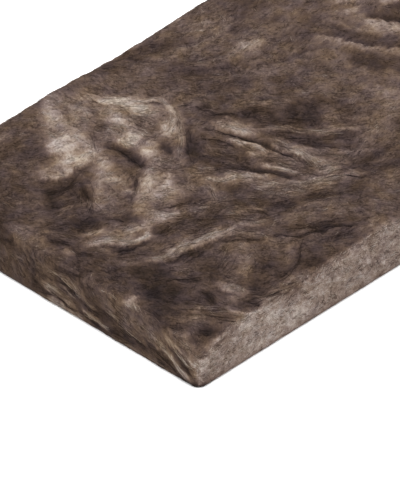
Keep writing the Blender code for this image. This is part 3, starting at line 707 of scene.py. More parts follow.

# Broad lighter and darker bands over the folds, in part painted light and shade: name, half width in
# pixels, change of tone, path.
TOP_WASHES = (
    ("corner", 9, 0.14, (66, 100), (72, 106), (78, 109)),
    ("ledge_left", 9, 0.12, (97, 100), (105, 105), (114, 110)),
    ("ledge_right", 8, 0.13, (128, 106), (150, 108), (170, 106), (184, 103)),
    ("far_band", 8, -0.14, (206, 112), (230, 115), (248, 113)),
    ("far_band_right", 8, -0.21, (314, 103), (330, 107), (345, 112)),
    ("far_right", 8, -0.09, (305, 122), (325, 126), (347, 130)),
    ("under_a", 7, -0.12, (252, 135), (264, 145), (266, 157)),
    ("slope", 12, 0.15, (50, 120), (52, 135), (60, 150), (90, 150)),
    ("slope_right", 9, 0.12, (74, 144), (84, 156), (98, 160)),
    ("mound_side", 6, 0.08, (98, 148), (101, 164), (99, 178)),
    ("crease_light", 5, 0.15, (123, 184), (129, 190)),
    ("upright", 6, 0.15, (166, 124), (176, 130), (182, 137)),
    ("pocket_left", 8, -0.07, (192, 150), (200, 160), (214, 162)),
    ("under_ridge_a", 7, -0.06, (262, 131), (282, 133), (300, 138), (312, 146)),
    ("dark_band", 7, -0.07, (282, 213), (298, 204), (312, 200)),
    ("edge_dark", 5, -0.07, (330, 156), (345, 160)),
    ("shaded_low", 8, -0.13, (192, 280), (204, 272), (216, 268)),
    ("patch_foot", 7, -0.09, (240, 286), (250, 282), (256, 274)),
    ("tuft_light", 6, 0.07, (120, 314), (134, 313), (144, 316)),
    ("tuft_dark", 5, -0.19, (151, 312), (160, 316)),
    ("low_light", 5, 0.10, (208, 299), (232, 300), (244, 299)),
    ("slope_low", 6, 0.09, (54, 173), (66, 175), (76, 170)),
    ("lumps", 10, 0.12, (136, 134), (140, 146), (150, 153), (158, 159)),
    ("pocket_rim", 6, 0.14, (212, 148), (226, 148), (240, 148)),
    ("pocket_low", 5, 0.08, (222, 160), (238, 161)),
    ("pocket_right", 6, 0.23, (270, 157), (283, 159), (298, 161)),
    ("band_g", 8, 0.07, (262, 186), (284, 188), (302, 188)),
    ("fall_right_low", 7, 0.10, (163, 216), (176, 214), (188, 215)),
    ("fall_middle", 8, 0.09, (152, 188), (162, 187), (172, 188)),
    ("pocket_edge", 6, 0.16, (84, 199), (90, 204), (98, 205)),
    ("ledge_middle", 6, 0.12, (112, 104), (128, 104), (142, 104)),
    ("mottle", 6, 0.08, (98, 131), (112, 131)),
    ("right_low", 9, -0.08, (280, 257), (300, 262), (322, 260)),
    ("right_low_end", 6, -0.07, (302, 270), (310, 273), (318, 272)),
    ("hole_light", 5, 0.11, (193, 311), (201, 315)),
    ("golden_low", 6, -0.10, (232, 325), (214, 330), (194, 340)),
    ("ridge_two_top", 5, 0.09, (194, 247), (212, 241)),
    ("shelf", 6, -0.05, (204, 172), (224, 174), (240, 174)),
    ("fall_right", 8, 0.11, (158, 203), (166, 191), (176, 186)),
    ("pocket_end", 6, -0.29, (51, 194), (54, 204)),
    ("fall_low", 9, 0.14, (134, 232), (150, 224), (170, 216), (196, 211)),
    ("mid_band", 6, 0.06, (84, 229), (94, 229), (103, 230)),
    ("mid_band_right", 6, -0.09, (112, 229), (128, 229), (142, 227)),
    ("ridge_one", 6, -0.04, (106, 243), (120, 243), (132, 240)),
    ("left_low", 6, -0.08, (52, 243), (64, 243), (78, 244)),
    ("ridge_two", 6, -0.11, (196, 229), (212, 230), (228, 228)),
    ("shadowed_band", 8, -0.06, (244, 188), (258, 194), (262, 204)),
    ("lap", 6, 0.06, (240, 243), (256, 243), (284, 240)),
    ("left_brown", 7, 0.25, (58, 270), (70, 275), (78, 284)),
    ("ridge_two_left", 6, 0.04, (154, 248), (162, 262), (178, 264)),
    ("brown", 7, 0.07, (236, 232), (244, 248), (246, 266)),
    ("light_fan", 6, 0.10, (224, 290), (234, 293), (242, 295)),
    ("plum", 14, -0.15, (86, 256), (102, 266), (114, 277)),
    ("field", 13, -0.15, (136, 284), (160, 292), (186, 296), (210, 298)),
    ("shaded_left", 6, 0.03, (177, 249), (184, 260), (190, 272)),
    ("brown_patch", 14, -0.10, (206, 250), (216, 262), (226, 276)),
    ("bowl", 11, -0.15, (258, 250), (262, 262), (268, 270)),
    ("bowl_right", 7, -0.07, (300, 250), (306, 262), (308, 272)),
    ("under_plum", 8, -0.07, (212, 214), (236, 218), (262, 228)),
    ("field_foot", 9, -0.08, (146, 300), (172, 306), (200, 304)),
    ("right_field", 11, -0.05, (286, 214), (312, 220), (340, 226)),
    ("ridge_one_end", 5, 0.10, (138, 244), (147, 240)),
    ("field_top", 7, -0.11, (122, 271), (140, 273), (160, 272)),
    ("under_ledge", 6, 0.09, (134, 116), (146, 117)),
    ("fall_gap", 6, -0.27, (73, 143), (80, 147)),
    ("fall_foot_light", 5, 0.14, (86, 149), (93, 150)),
    ("fall_middle_left", 5, -0.13, (54, 158), (64, 158)),
    ("fall_top", 5, 0.11, (66, 126), (74, 126)),
    ("left_rim_low", 6, -0.15, (51, 174), (58, 171)),
    ("corner_gap", 6, -0.14, (56, 109), (64, 112)),
    ("brown_edge", 5, -0.10, (79, 106), (86, 106)),
    ("valley_middle", 5, -0.15, (91, 239), (99, 239)),
    ("mound_foot_right", 5, -0.11, (128, 223), (137, 223)),
    ("fall_ridge", 5, 0.11, (168, 183), (172, 190)),
    ("ridge_gap", 5, -0.11, (226, 226), (235, 226)),
    ("shelf_right", 5, 0.13, (318, 166), (330, 167)),
    ("below_shelf", 5, -0.11, (243, 172), (253, 172)),
    ("rim_crack_side", 5, -0.13, (235, 146), (244, 147)),
    ("behind_ridge", 5, -0.11, (269, 144), (280, 144)),
    ("plum_left", 7, -0.12, (253, 264), (252, 276), (256, 288)),
    ("lens_core", 6, -0.08, (246, 117), (268, 118), (292, 119), (316, 121)),
    ("lens_top_light", 4, 0.12, (308, 107), (338, 109)),
    ("pocket_core", 7, -0.06, (196, 150), (212, 156), (232, 160)),
    ("shelf_tuft", 3, 0.17, (264, 166), (280, 168), (296, 172)),
    ("shelf_line", 2, -0.17, (260, 171), (278, 175), (300, 179)),
    ("lump_hole_core", 5, -0.12, (164, 146), (169, 154)),
    ("fall_right_shade", 4, -0.10, (92, 126), (95, 136), (97, 144)),
    ("lump_top", 4, 0.11, (141, 133), (149, 133)),
    ("ledge_spot_left", 4, -0.11, (127, 109), (135, 109)),
    ("fall_foot_mid", 5, 0.10, (67, 162), (75, 161)),
    ("plum_low_left", 5, -0.09, (142, 259), (150, 259)),
    ("ridge_dark", 5, -0.08, (255, 215), (264, 215)),
    ("depth_left", 4, -0.09, (74, 214), (80, 214)),
    ("plum_right", 6, 0.05, (267, 270), (270, 286)),
    ("band_above_pocket", 6, -0.17, (212, 123), (224, 123)),
    ("depth_right", 5, 0.26, (90, 230), (97, 230)),
    ("rim_right", 6, 0.15, (232, 137), (244, 136)),
    ("valley_left", 6, 0.15, (97, 246), (106, 246)),
    ("ledge_crest", 5, 0.15, (132, 97), (144, 97)),
    ("shelf_low", 5, 0.15, (275, 166), (288, 166)),
    ("band_middle", 6, 0.15, (232, 177), (246, 177)),
    ("far_edge", 7, -0.13, (210, 98), (236, 98)),
    ("far_edge_right", 6, -0.12, (281, 98), (293, 98)),
    ("band_near", 6, 0.13, (210, 202), (222, 202)),
    ("fall_shade", 6, -0.13, (156, 186), (162, 187)),
    ("corner_rim", 6, 0.12, (82, 97), (92, 97)),
    ("curl_foot", 5, 0.14, (158, 135), (173, 138)),
    ("lump_left", 6, 0.12, (124, 143), (134, 143)),
    ("pocket_below", 6, -0.13, (204, 176), (216, 176)),
    ("mottle_right", 6, 0.12, (115, 125), (125, 125)),
    ("near_corner", 5, 0.20, (197, 366), (204, 368)),
    ("fall_low_spot", 6, 0.12, (160, 222), (172, 222)),
    ("ledge_drop", 5, 0.11, (136, 111), (146, 111)),
    ("mound_top", 6, 0.12, (104, 170), (114, 170)),
    ("left_rim", 6, 0.12, (51, 182), (56, 181)),
    ("left_corner", 6, 0.10, (51, 100), (52, 124)),
    ("ridge_a", 6, 0.08, (226, 128), (244, 132)),
    ("right_brown", 8, -0.06, (304, 242), (322, 247), (342, 254)),
    ("right_edge_band", 8, 0.19, (318, 184), (332, 186), (345, 189)),
)
SIDE_WASHES = (
    # foot_spot and foot are painted light, lightening the foot where the floor shades it.
    ("foot_spot", 5, 0.15, (211, 380), (219, 376)),
    ("near_spot", 5, 0.14, (211, 346), (219, 342)),
    ("middle_shade", 6, -0.14, (291, 304), (303, 298)),
    ("far_foot", 5, 0.12, (292, 318), (304, 312)),
    ("low_spot", 5, 0.11, (244, 319), (256, 330)),
    ("near_shade_low", 6, -0.11, (226, 351), (240, 350)),
    ("tip", 4, -0.36, (197, 388), (206, 386)),
    ("middle_spot", 4, -0.13, (251, 317), (258, 319)),
    ("near_middle", 5, -0.12, (213, 366), (220, 364)),
    ("near_rim", 4, 0.14, (200, 367), (206, 362)),
    ("rim_spot", 5, 0.11, (264, 302), (272, 299)),
    ("rim_near", 5, 0.12, (207, 347), (214, 341)),
    ("rim", 10, 0.11, (238, 322), (252, 311), (262, 305)),
    ("middle", 8, 0.12, (272, 318), (288, 312), (302, 306)),
    ("near", 10, 0.10, (206, 362), (222, 350), (244, 338)),
    ("near_shade", 5, -0.12, (224, 352), (230, 340), (235, 328)),
    ("near_foot", 6, -0.12, (199, 389), (206, 384), (213, 379)),
    ("foot", 6, 0.13, (212, 370), (240, 354), (270, 336), (292, 323)),
)
END_WASHES = (
    ("tip", 4, -0.34, (191, 386), (199, 389)),
    ("corner_low", 4, -0.11, (179, 377), (187, 381)),
    ("strand_spot", 4, 0.11, (157, 353), (165, 359)),
    ("far", 8, 0.06, (50, 290), (60, 298), (68, 305)),
    ("upper", 8, -0.12, (60, 272), (88, 290), (98, 308), (102, 324)),
    ("rim", 6, 0.12, (62, 271), (72, 279), (80, 289)),
    ("middle", 8, 0.04, (85, 290), (110, 306), (138, 322)),
    ("near", 10, 0.06, (152, 336), (174, 352), (196, 372)),
    # The foot bands are painted light, lightening the foot where the floor shades it.
    ("foot", 6, 0.25, (52, 300), (85, 323), (115, 340), (145, 359), (175, 377)),
    ("foot_near", 5, 0.17, (146, 356), (160, 366), (172, 374)),
)

# Felted folds: their fibres don't run along them.
FELTED_FOLDS = (
    "pale_fall", "pale_fall_light", "pale_fall_right", "fall_between", "fall_floor",
    "mound", "mound_light", "mound_low", "mound_rim",
    "lumps_floor", "lumps_corner", "lumps_brown", "lumps_brown_light",
    "left_slope_upper", "left_slope_light", "left_slope_top_light",
    "pebble_row", "pale_lump", "bright_lump",
)

# Base flow of the fibres: across the batt at a slant on top, falling towards the near side on the
# cut ends, and level on the slit sides.
TOP_FLOW = math.radians(-32)
END_FLOW = math.radians(66)
FLOW_DRIFT = math.radians(17)
TOP_TONE = 0.42
END_TONE = 0.40
SIDE_TONE = 0.73
# The tone that random wads fade towards under the photographed folds.
FADED_TONE = 0.44

# Random wads: how many, the share of each tone, their sizes and lifts in metres, and how
# dark the painted shade in the gap beside them is.
RANDOM_WADS = 260
WAD_TONES = (DIM, SHADE, BROWN, MID, WARM, LIGHT)
WAD_TONE_SHARES = (0.16, 0.2, 0.22, 0.18, 0.16, 0.08)
WAD_LENGTH = 0.085
WAD_HALF_WIDTH = (0.006, 0.020)
WAD_LIFT = (0.0005, 0.0035)
WAD_SHADE = 0.12


def comb_base():
    """Gives the canvas its first flow and tone."""
    uu, vv = canvas.uu, canvas.vv
    drift = canvas.cloud(0.17) * FLOW_DRIFT
    on_left = smooth(-LENGTH / 2 - uu, -0.012, 0.020)
    on_right = smooth(uu - LENGTH / 2, -0.012, 0.020)
    ragged = canvas.cloud(0.022) * 0.0050 + canvas.cloud(0.007) * 0.0035
    on_side = smooth(np.abs(vv) - WIDTH / 2 + ragged, -0.008, 0.004)
    left = heading(END_FLOW + drift)
    right = left * (1.0, -1.0)
    flow = heading(TOP_FLOW + drift)
    for weight, way in ((on_left, left), (on_right, right), (on_side, heading(drift * 0.5))):
        flow = flow * (1 - weight[..., None]) + way * weight[..., None]
    canvas.flow = unit(flow)
    on_end = np.maximum(on_left, on_right)
    tone = TOP_TONE + 0.07 * canvas.cloud(0.09)
    tone += (END_TONE - tone) * on_end * 0.8
    tone += (SIDE_TONE - tone) * on_side
    canvas.tone = tone
    canvas.slit = on_side
    canvas.gold = on_end * (1 - on_side)


def follow(u, v, length, count, sway=0.0, clump=1, kink=0.0):
    """Paths along the flow from each start u, v: an array of starts, steps and two coordinates.

    The paths of one clump bend alike. sway is how far they bend, and kink how far each step turns
    from the last, both in radians.
    """
    def draw():
        return np.repeat(rng.standard_normal(len(u) // clump), clump)

    step = length / (count - 1)
    bend = draw() * sway
    turn = draw() * sway * 0.6
    path = [np.stack([u, v], -1)]
    for k in range(count - 1):
        way = unit(canvas.sample(canvas.flow, path[-1][:, 0], path[-1][:, 1]))
        angle = bend + turn * (k - count / 2) / count * 4
        angle = angle + draw() * kink
        path.append(path[-1] + turned(way, angle) * step[:, None])
    return np.stack(path, 1)


def random_places(count, margin=0.01):
    """Even random places on the canvas, without the square corners that the batt doesn't have."""
    u = rng.uniform(-LENGTH / 2 - LOFT + margin, LENGTH / 2 + LOFT - margin, count * 2)
    v = rng.uniform(-WIDTH / 2 - LOFT + margin, WIDTH / 2 + LOFT - margin, count * 2)
    keep = (np.abs(u) < LENGTH / 2) | (np.abs(v) < WIDTH / 2)
    return u[keep][:count], v[keep][:count]


def lay_random_wads():
    """Wads in no special place, so that every side has folds like those of the photographed corner."""
    u, v = random_places(RANDOM_WADS)
    length = rng.lognormal(math.log(WAD_LENGTH), 0.45, len(u))
    paths = follow(u, v, length, 7, 0.22)
    tones = rng.choice(WAD_TONES, len(u), p=WAD_TONE_SHARES)
    half = rng.uniform(*WAD_HALF_WIDTH, len(u))
    lift = rng.uniform(*WAD_LIFT, len(u)) * np.where(tones > SHADE, 1, -0.6)
    edge = rng.choice([-1, 0, 1], len(u), p=[0.15, 0.35, 0.5])
    for i in range(len(u)):
        if abs(v[i]) <= WIDTH / 2:
            lay("batt", paths[i], half[i], tones[i], lift[i], edge[i], shade=WAD_SHADE)


def lay_photographed_folds(place):
    """Lays the folds of the photographed corner there, or once more on the opposite corner."""
    here = place == "photo"
    x, y = (canvas.px, canvas.py) if here else (canvas.far_x, canvas.far_y)
    way = 1.0 if here else -1.0
    u, v = canvas.uu * way, canvas.vv * way
    # What was laid before fades where these folds go.
    seen = smooth(x, 25, 60) * (1 - smooth(x, 340, 375)) * smooth(y, 70, 105)
    canvas.tone += (FADED_TONE - canvas.tone) * seen * (1 - canvas.slit) * 0.7
    canvas.height *= 1 - 0.5 * seen
    on_top = (np.abs(u) < LENGTH / 2 + 0.012) & (np.abs(v) < WIDTH / 2 + 0.012)
    for folds, washes, cells in (
        (TOP_FOLDS, TOP_WASHES, on_top),
        (END_FOLDS, END_WASHES, u < -LENGTH / 2 + 0.022),
        (SIDE_FOLDS, SIDE_WASHES, v < -WIDTH / 2 + 0.010),
    ):
        for name, half_px, tone, steps, edge, *path in folds:
            combed = FELTED_COMBING if name in FELTED_FOLDS else LOOSE_COMBING
            lay(place, path, half_px, tone, steps * LIFT_STEP_MM / 1000, edge, combed=combed, cells=cells)
        if here:
            for _, half_px, shift, *path in washes:
                wash(path, half_px, shift, cells)


comb_base()
lay_random_wads()
lay_photographed_folds("opposite")
lay_photographed_folds("photo")

# Fine relief and tone that every part of the surface has: how far each moves the tone, and how
# high it is in metres. The glints are painted highlights of fibres, and the cracks painted shade
# of fine creases that the relief doesn't have.
FINE_TONE = 0.042
BROAD_TONE = 0.024
LUMP_TONE = 0.012
GLINT_TONE = 0.08
CRACK_SHADE_TONE = 0.11
FLECK_TONE = 0.055
FINE_RELIEF = 0.0002
BROAD_RELIEF = 0.0004
LUMP_RELIEF = 0.0008
DEEPEST = -0.022
HIGHEST = 0.006

canvas.flow = unit(canvas.flow)
canvas.crinkle(0.018, 0.16)
canvas.crinkle(0.006, 0.20)
canvas.tone = canvas.smear(canvas.feather(canvas.tone, 0.0035), 0.003)
fine = even(canvas.smear(rng.standard_normal(canvas.uu.shape), 0.006))
broad = even(canvas.smear(canvas.cloud(0.007), 0.012))
lumps = canvas.cloud(0.030)
flecks = even(canvas.smear(canvas.cloud(0.004), 0.006))
# Cracks: painted shade of fine creases; glints: painted highlights of fibres.
crack_shades, glints = (smooth(even(canvas.smear(canvas.cloud(0.003), 0.006)), 1.1, 2.6) for _ in range(2))
on_top = 1 - canvas.slit
canvas.tone += (FINE_TONE * fine + BROAD_TONE * broad) * (0.5 + 0.5 * on_top) + LUMP_TONE * lumps
canvas.tone += (GLINT_TONE * glints - CRACK_SHADE_TONE * crack_shades) * (1 + 0.8 * canvas.gold)
canvas.tone += FLECK_TONE * flecks * canvas.slit
canvas.height += FINE_RELIEF * fine + BROAD_RELIEF * broad + LUMP_RELIEF * lumps * (0.4 + 0.6 * on_top)
canvas.tone = np.clip(canvas.tone, 0.0, 1.0)
canvas.height = np.clip(canvas.height, DEEPEST, HIGHEST)
# The sides grow plainer towards the floor.
canvas.height *= 0.25 + 0.75 * smooth(canvas.points[..., 2], 0.0, 0.030)

canvas.along = canvas.unrolled_along(canvas.flow)
canvas.across = canvas.unrolled_along(np.stack([-canvas.flow[..., 1], canvas.flow[..., 0]], -1))


def mesh_object(name, verts, faces, tone, comb, slit, gold):
    """An object of the given faces, with the attributes that its wool is shaded by."""
    mesh = bpy.data.meshes.new(name)
    counts = np.array([len(face) for face in faces], np.int32)
    mesh.vertices.add(len(verts))
    mesh.vertices.foreach_set("co", verts.astype(np.float32).ravel())
    mesh.loops.add(int(counts.sum()))
    mesh.loops.foreach_set("vertex_index", np.concatenate(faces).astype(np.int32))
    mesh.polygons.add(len(faces))
    mesh.polygons.foreach_set("loop_start", np.concatenate([[0], np.cumsum(counts)[:-1]]).astype(np.int32))
    mesh.update(calc_edges=True)
    for field, values in (("tone", tone), ("slit", slit), ("gold", gold)):
        data = mesh.attributes.new(field, "FLOAT", "POINT").data
        data.foreach_set("value", values.astype(np.float32))
    data = mesh.attributes.new("comb", "FLOAT_VECTOR", "POINT").data
    data.foreach_set("vector", comb.astype(np.float32).ravel())
    mesh.shade_smooth()
    obj = bpy.data.objects.new(name, mesh)
    bpy.context.scene.collection.objects.link(obj)
    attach(obj, "root")
    return obj


# The body's lattice: cells along, across and down, and the coarser cells of its underside. The
# cells along are finer up to a place a little past the middle.
CELLS_ALONG_NEAR = 240
CELLS_ALONG_FAR = 100
CELLS_ALONG = CELLS_ALONG_NEAR + CELLS_ALONG_FAR
FINE_CELLS_END = 0.03
CELLS_ACROSS = 200
CELLS_DOWN = 16
UNDERSIDE_CELL = 5
UNDERSIDE_TONE = 0.45
# The comb pattern of the underside is taken from another layer of the noise.
UNDERSIDE_LAYER = 3.0


def make_body():
    """The whole slab as one closed skin."""
    near_lines = np.linspace(-LENGTH / 2, FINE_CELLS_END, CELLS_ALONG_NEAR + 1)
    far_lines = np.linspace(FINE_CELLS_END, LENGTH / 2, CELLS_ALONG_FAR + 1)
    x_lines = np.concatenate([near_lines, far_lines[1:]])
    y_lines = np.linspace(-WIDTH / 2, WIDTH / 2, CELLS_ACROSS + 1)
    gx, gy = np.meshgrid(x_lines, y_lines)
    u, v = [gx.ravel()], [gy.ravel()]
    other_u, other_v = [gx.ravel()], [gy.ravel()]

    def top(i, j):
        return j * (CELLS_ALONG + 1) + i

    outline = [(i, 0) for i in range(CELLS_ALONG)]
    outline += [(CELLS_ALONG, j) for j in range(CELLS_ACROSS)]
    outline += [(i, CELLS_ACROSS) for i in range(CELLS_ALONG, 0, -1)]
    outline += [(0, j) for j in range(CELLS_ACROSS, 0, -1)]
    ring_i, ring_j = np.array(outline).T
    out_u = np.where(ring_i == 0, -1.0, np.where(ring_i == CELLS_ALONG, 1.0, 0.0))
    out_v = np.where(ring_j == 0, -1.0, np.where(ring_j == CELLS_ACROSS, 1.0, 0.0))
    # An upright corner belongs to two sides of the canvas, and takes the mean of both.
    corner = (out_u != 0) & (out_v != 0)
    rings = [[top(i, j) for i, j in outline]]
    start = gx.size
    for k in range(1, CELLS_DOWN + 1):
        drop = LOFT * k / CELLS_DOWN
        u.append(x_lines[ring_i] + np.where(corner, 0, out_u) * drop)
        v.append(y_lines[ring_j] + out_v * drop)
        other_u.append(x_lines[ring_i] + out_u * drop)
        other_v.append(y_lines[ring_j] + np.where(corner, 0, out_v) * drop)
        rings.append(list(range(start, start + len(outline))))
        start += len(outline)
    u, v, other_u, other_v = (np.concatenate(parts) for parts in (u, v, other_u, other_v))
    height, tone = (
        (canvas.sample(field, u, v) + canvas.sample(field, other_u, other_v)) / 2
        for field in (canvas.height, canvas.tone)
    )
    slit, gold, along, across = (
        canvas.sample(field, u, v) for field in (canvas.slit, canvas.gold, canvas.along, canvas.across)
    )
    points, normals = wrap(u, v)
    points = points + normals * height[:, None]
    comb = np.stack([along, across, 0 * u], -1)

    faces = []
    for j in range(CELLS_ACROSS):
        for i in range(CELLS_ALONG):
            faces.append((top(i, j), top(i + 1, j), top(i + 1, j + 1), top(i, j + 1)))
    count = len(outline)
    for high, low in zip(rings, rings[1:]):
        for k in range(count):
            n = (k + 1) % count
            faces.append((high[k], low[k], low[n], high[n]))

    foot = {place: rings[-1][k] for k, place in enumerate(outline)}
    step = UNDERSIDE_CELL
    inner = []
    for j in range(step, CELLS_ACROSS, step):
        for i in range(step, CELLS_ALONG, step):
            foot[i, j] = start + len(inner)
            inner.append((x_lines[i], y_lines[j]))
    inner_x, inner_y = np.array(inner).T
    mottle = canvas.sample(canvas.cloud(0.05), inner_x, inner_y)
    rise = 0.0008 + 0.0007 * np.abs(mottle)
    layer = np.full(len(inner), UNDERSIDE_LAYER)
    points = np.vstack([points, np.stack([inner_x, inner_y, rise], -1)])
    comb = np.vstack([comb, np.stack([inner_x, inner_y, layer], -1)])
    tone = np.concatenate([tone, UNDERSIDE_TONE + 0.10 * mottle])
    slit, gold = (np.concatenate([field, np.zeros(len(inner))]) for field in (slit, gold))
    for j in range(0, CELLS_ACROSS, step):
        for i in range(0, CELLS_ALONG, step):
            loop = [(i, j + k) for k in range(step)] + [(i + k, j + step) for k in range(step)]
            loop += [(i + step, j + step - k) for k in range(step)]
            loop += [(i + step - k, j) for k in range(step)]
            faces.append([foot[place] for place in loop if place in foot])
    body = mesh_object("wool_body", points, faces, tone, comb, slit, gold)
    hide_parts("batt")
    return body


# Loose fibres are closed tubes with three sides, a flatter underside and a tip at each end. The
# noise of each tube starts at a place of its own.
TUBE_SIDES = 3
TUBE_UNDERSIDE = 0.5
TUBE_NOISE_SPAN = 40
TUBE_NOISE_SLANT = 0.37
LOWEST_TUBE = 0.0008
# Fibres of the slit sides have half of the body's greyness.
TUBE_SLIT = 0.5


def make_tubes(name, paths, half_width, thickness, lift, tone_shift, own_tone=None):
    """Closed tapering strands along canvas paths, all joined in one object.

    paths is strands x rings x 2. half_width, thickness and lift are strands x rings. A strand's tone
    is its own tone, or the canvas tone there if it has none, and its shift.
    """
    strands, rings, _ = paths.shape
    sides, inner = TUBE_SIDES, rings - 2
    u, v = paths[..., 0], paths[..., 1]
    base, normal = wrap(u, v)
    centre = base + normal * (canvas.sample(canvas.height, u, v) + lift)[..., None]
    centre[..., 2] = np.maximum(centre[..., 2], LOWEST_TUBE)
    tangent = unit(np.gradient(centre, axis=1))
    side = unit(np.cross(normal, tangent))
    up = np.cross(tangent, side)
    angle = 2 * np.pi * (np.arange(sides) + 0.25) / sides + np.pi / 2
    ca, sa = np.cos(angle), np.sin(angle)
    low = np.where(sa < 0, TUBE_UNDERSIDE, 1.0) * sa
    ring = (
        centre[:, 1:-1, None, :]
        + side[:, 1:-1, None, :] * (half_width[:, 1:-1, None] * ca)[..., None]
        + up[:, 1:-1, None, :] * (thickness[:, 1:-1, None] * low)[..., None]
    )

    def tipped(first, between, last):
        """Values of a tip, of every point between, and of the other tip, in the tube's order."""
        between = between.reshape(strands, inner * sides, *first.shape[2:])
        return np.concatenate([first, between, last], axis=1)

    def skinned(values):
        """Values of the rings as values of the tube's points."""
        return tipped(values[:, :1], np.repeat(values[:, 1:-1], sides, axis=1), values[:, -1:])

    verts = tipped(centre[:, :1], ring, centre[:, -1:])
    per = inner * sides + 2
    tones = canvas.sample(canvas.tone, u, v)
    if own_tone is not None:
        tones = np.where(np.isnan(own_tone)[:, None], tones, own_tone[:, None])
    tones = tones + tone_shift[:, None]
    gone = np.cumsum(np.linalg.norm(np.diff(centre, axis=1), axis=-1), axis=1)
    far = np.concatenate([np.zeros((strands, 1)), gone], axis=1)
    offset = rng.uniform(0, TUBE_NOISE_SPAN, (strands, 1))
    slant = offset * TUBE_NOISE_SLANT
    along = skinned(far + offset)
    across = tipped(slant, half_width[:, 1:-1, None] * ca + slant[:, :, None], slant)
    slit, gold = (
        np.repeat(canvas.sample(field, u[:, rings // 2], v[:, rings // 2]), per)
        for field in (canvas.slit, canvas.gold)
    )
    faces = [(0, 1 + (k + 1) % sides, 1 + k) for k in range(sides)]
    for r in range(inner - 1):
        for k in range(sides):
            a, b = 1 + r * sides + k, 1 + r * sides + (k + 1) % sides
            faces += [(a, b, b + sides), (a, b + sides, a + sides)]
    last = per - 1
    faces += [(last, last - sides + k, last - sides + (k + 1) % sides) for k in range(sides)]
    tris = (np.array(faces)[None] + (np.arange(strands) * per)[:, None, None]).reshape(-1, 3)
    comb = np.stack([along, across, np.zeros_like(along)], -1)
    tone = np.clip(skinned(tones), 0, 1).ravel()
    return mesh_object(name, verts.reshape(-1, 3), tris, tone, comb.reshape(-1, 3), slit * TUBE_SLIT, gold)


def taper(rings, power=0.6):
    """Widths from end to end of a strand that is pointed at both ends."""
    return np.sin(np.pi * np.linspace(0, 1, rings)) ** power


def drawn(span, count, shape=1.0):
    """A random value of the span for each strand, times its shape from end to end."""
    return rng.uniform(*span, count)[:, None] * shape


def sunk(rings, depth):
    """How far each ring of a strand goes down, so that both ends are in the wool."""
    return depth * (1 - taper(rings, 0.5))


# Smallest and largest sizes of the loose fibres.
STRAND_LENGTH = (0.007, 0.024)
STRAND_HALF_WIDTH = (0.00024, 0.00056)
STRAND_ARCH = (0.0, 0.0003)
CURL_LENGTH = (0.014, 0.036)
CURL_HALF_WIDTH = (0.00016, 0.00028)
CURL_ARCH = (0.0004, 0.0026)
RIM_FIBRE_LENGTH = (0.006, 0.020)
RIM_FIBRE_HALF_WIDTH = (0.00022, 0.00045)
RIM_FIBRE_RISE = (0.0, 0.0006)
HAIR_HALF_WIDTH = (0.00026, 0.00054)
HAIR_RISE = (0.0, 0.0003)
# How far the fibres bend and turn in radians, and how much paler the curls are.
STRAND_SWAY = 0.34
SLIT_STRAND_SWAY = 0.5
STRAND_KINK = 0.25
CURL_SWAY = 1.1
RIM_FIBRE_ANGLE = (0.15, 1.3)
RIM_FIBRE_TURN = 0.25
CURL_TONE_SHIFT = (0.05, 0.28)

# Fewer fibres are kept beyond this place along the batt, which the photograph doesn't show.
FAR_PART = 0.02
FAR_STRANDS = 0.36
FAR_CURLS = 0.6
# Strands of one clump start about this far from each other.
CLUMP_SPREAD = 0.0024
# Some clumps stand out in tone: a few pale ones, and on the slit sides more pale and dark ones.
PALE_SHARE = 0.07
PALE_SHIFT = 0.12
SLIT_PALE_SHARE = 0.18
SLIT_PALE_SHIFT = 0.18
SLIT_DARK_FROM = 0.80
SLIT_DARK_SHIFT = 0.20


def make_strands(name, count, clump, rings=4):
    """Loose bundles of fibre about a millimetre wide, most of them where the photograph looks.

    They lie in clumps side by side. Of all the clumps tried, those that cross the sharpest changes
    of tone are left out.
    """
    clumps = count // clump
    u, v = random_places(clumps * 6)
    keep = rng.uniform(0, 1, len(u)) < np.where(u < FAR_PART, 1.0, FAR_STRANDS)
    u, v = u[keep][: 2 * clumps], v[keep][: 2 * clumps]
    on_slit = np.repeat(np.abs(v) > WIDTH / 2, clump)
    spread = CLUMP_SPREAD if clump > 1 else 0.0
    u = np.repeat(u, clump) + rng.normal(0, 1, len(on_slit)) * spread
    v = np.repeat(v, clump) + rng.normal(0, 1, len(on_slit)) * spread
    length = rng.uniform(*STRAND_LENGTH, len(u)) * np.where(on_slit, 0.75, 1.0)
    sway = np.where(on_slit, SLIT_STRAND_SWAY, STRAND_SWAY)
    paths = follow(u, v, length, rings, sway, clump, STRAND_KINK)
    change = canvas.sample(canvas.tone, paths[..., 0], paths[..., 1]).std(axis=1)
    change = change.reshape(-1, clump).mean(1)
    kept = np.sort(np.argsort(change + rng.normal(0, 0.02, len(change)))[:clumps])
    kept = (kept[:, None] * clump + np.arange(clump)).ravel()
    paths, on_slit = paths[kept], on_slit[kept]
    half = drawn(STRAND_HALF_WIDTH, len(paths), taper(rings))
    arch = drawn(STRAND_ARCH, len(paths), taper(rings, 1.0))
    lift = 0.0001 + arch - sunk(rings, 0.0008)
    stray = np.repeat(rng.uniform(0, 1, clumps), clump)
    shift = np.repeat(rng.normal(0.0, 0.08, clumps), clump) + rng.normal(0.0, 0.090, len(paths))
    shift += np.where(stray < PALE_SHARE, PALE_SHIFT, 0.0)
    slit_shift = np.where(stray < SLIT_PALE_SHARE, SLIT_PALE_SHIFT, 0.0)
    slit_shift = slit_shift - np.where(stray > SLIT_DARK_FROM, SLIT_DARK_SHIFT, 0.0)
    shift += on_slit * slit_shift
    return make_tubes(name, paths, half, half * 0.4, lift, shift)


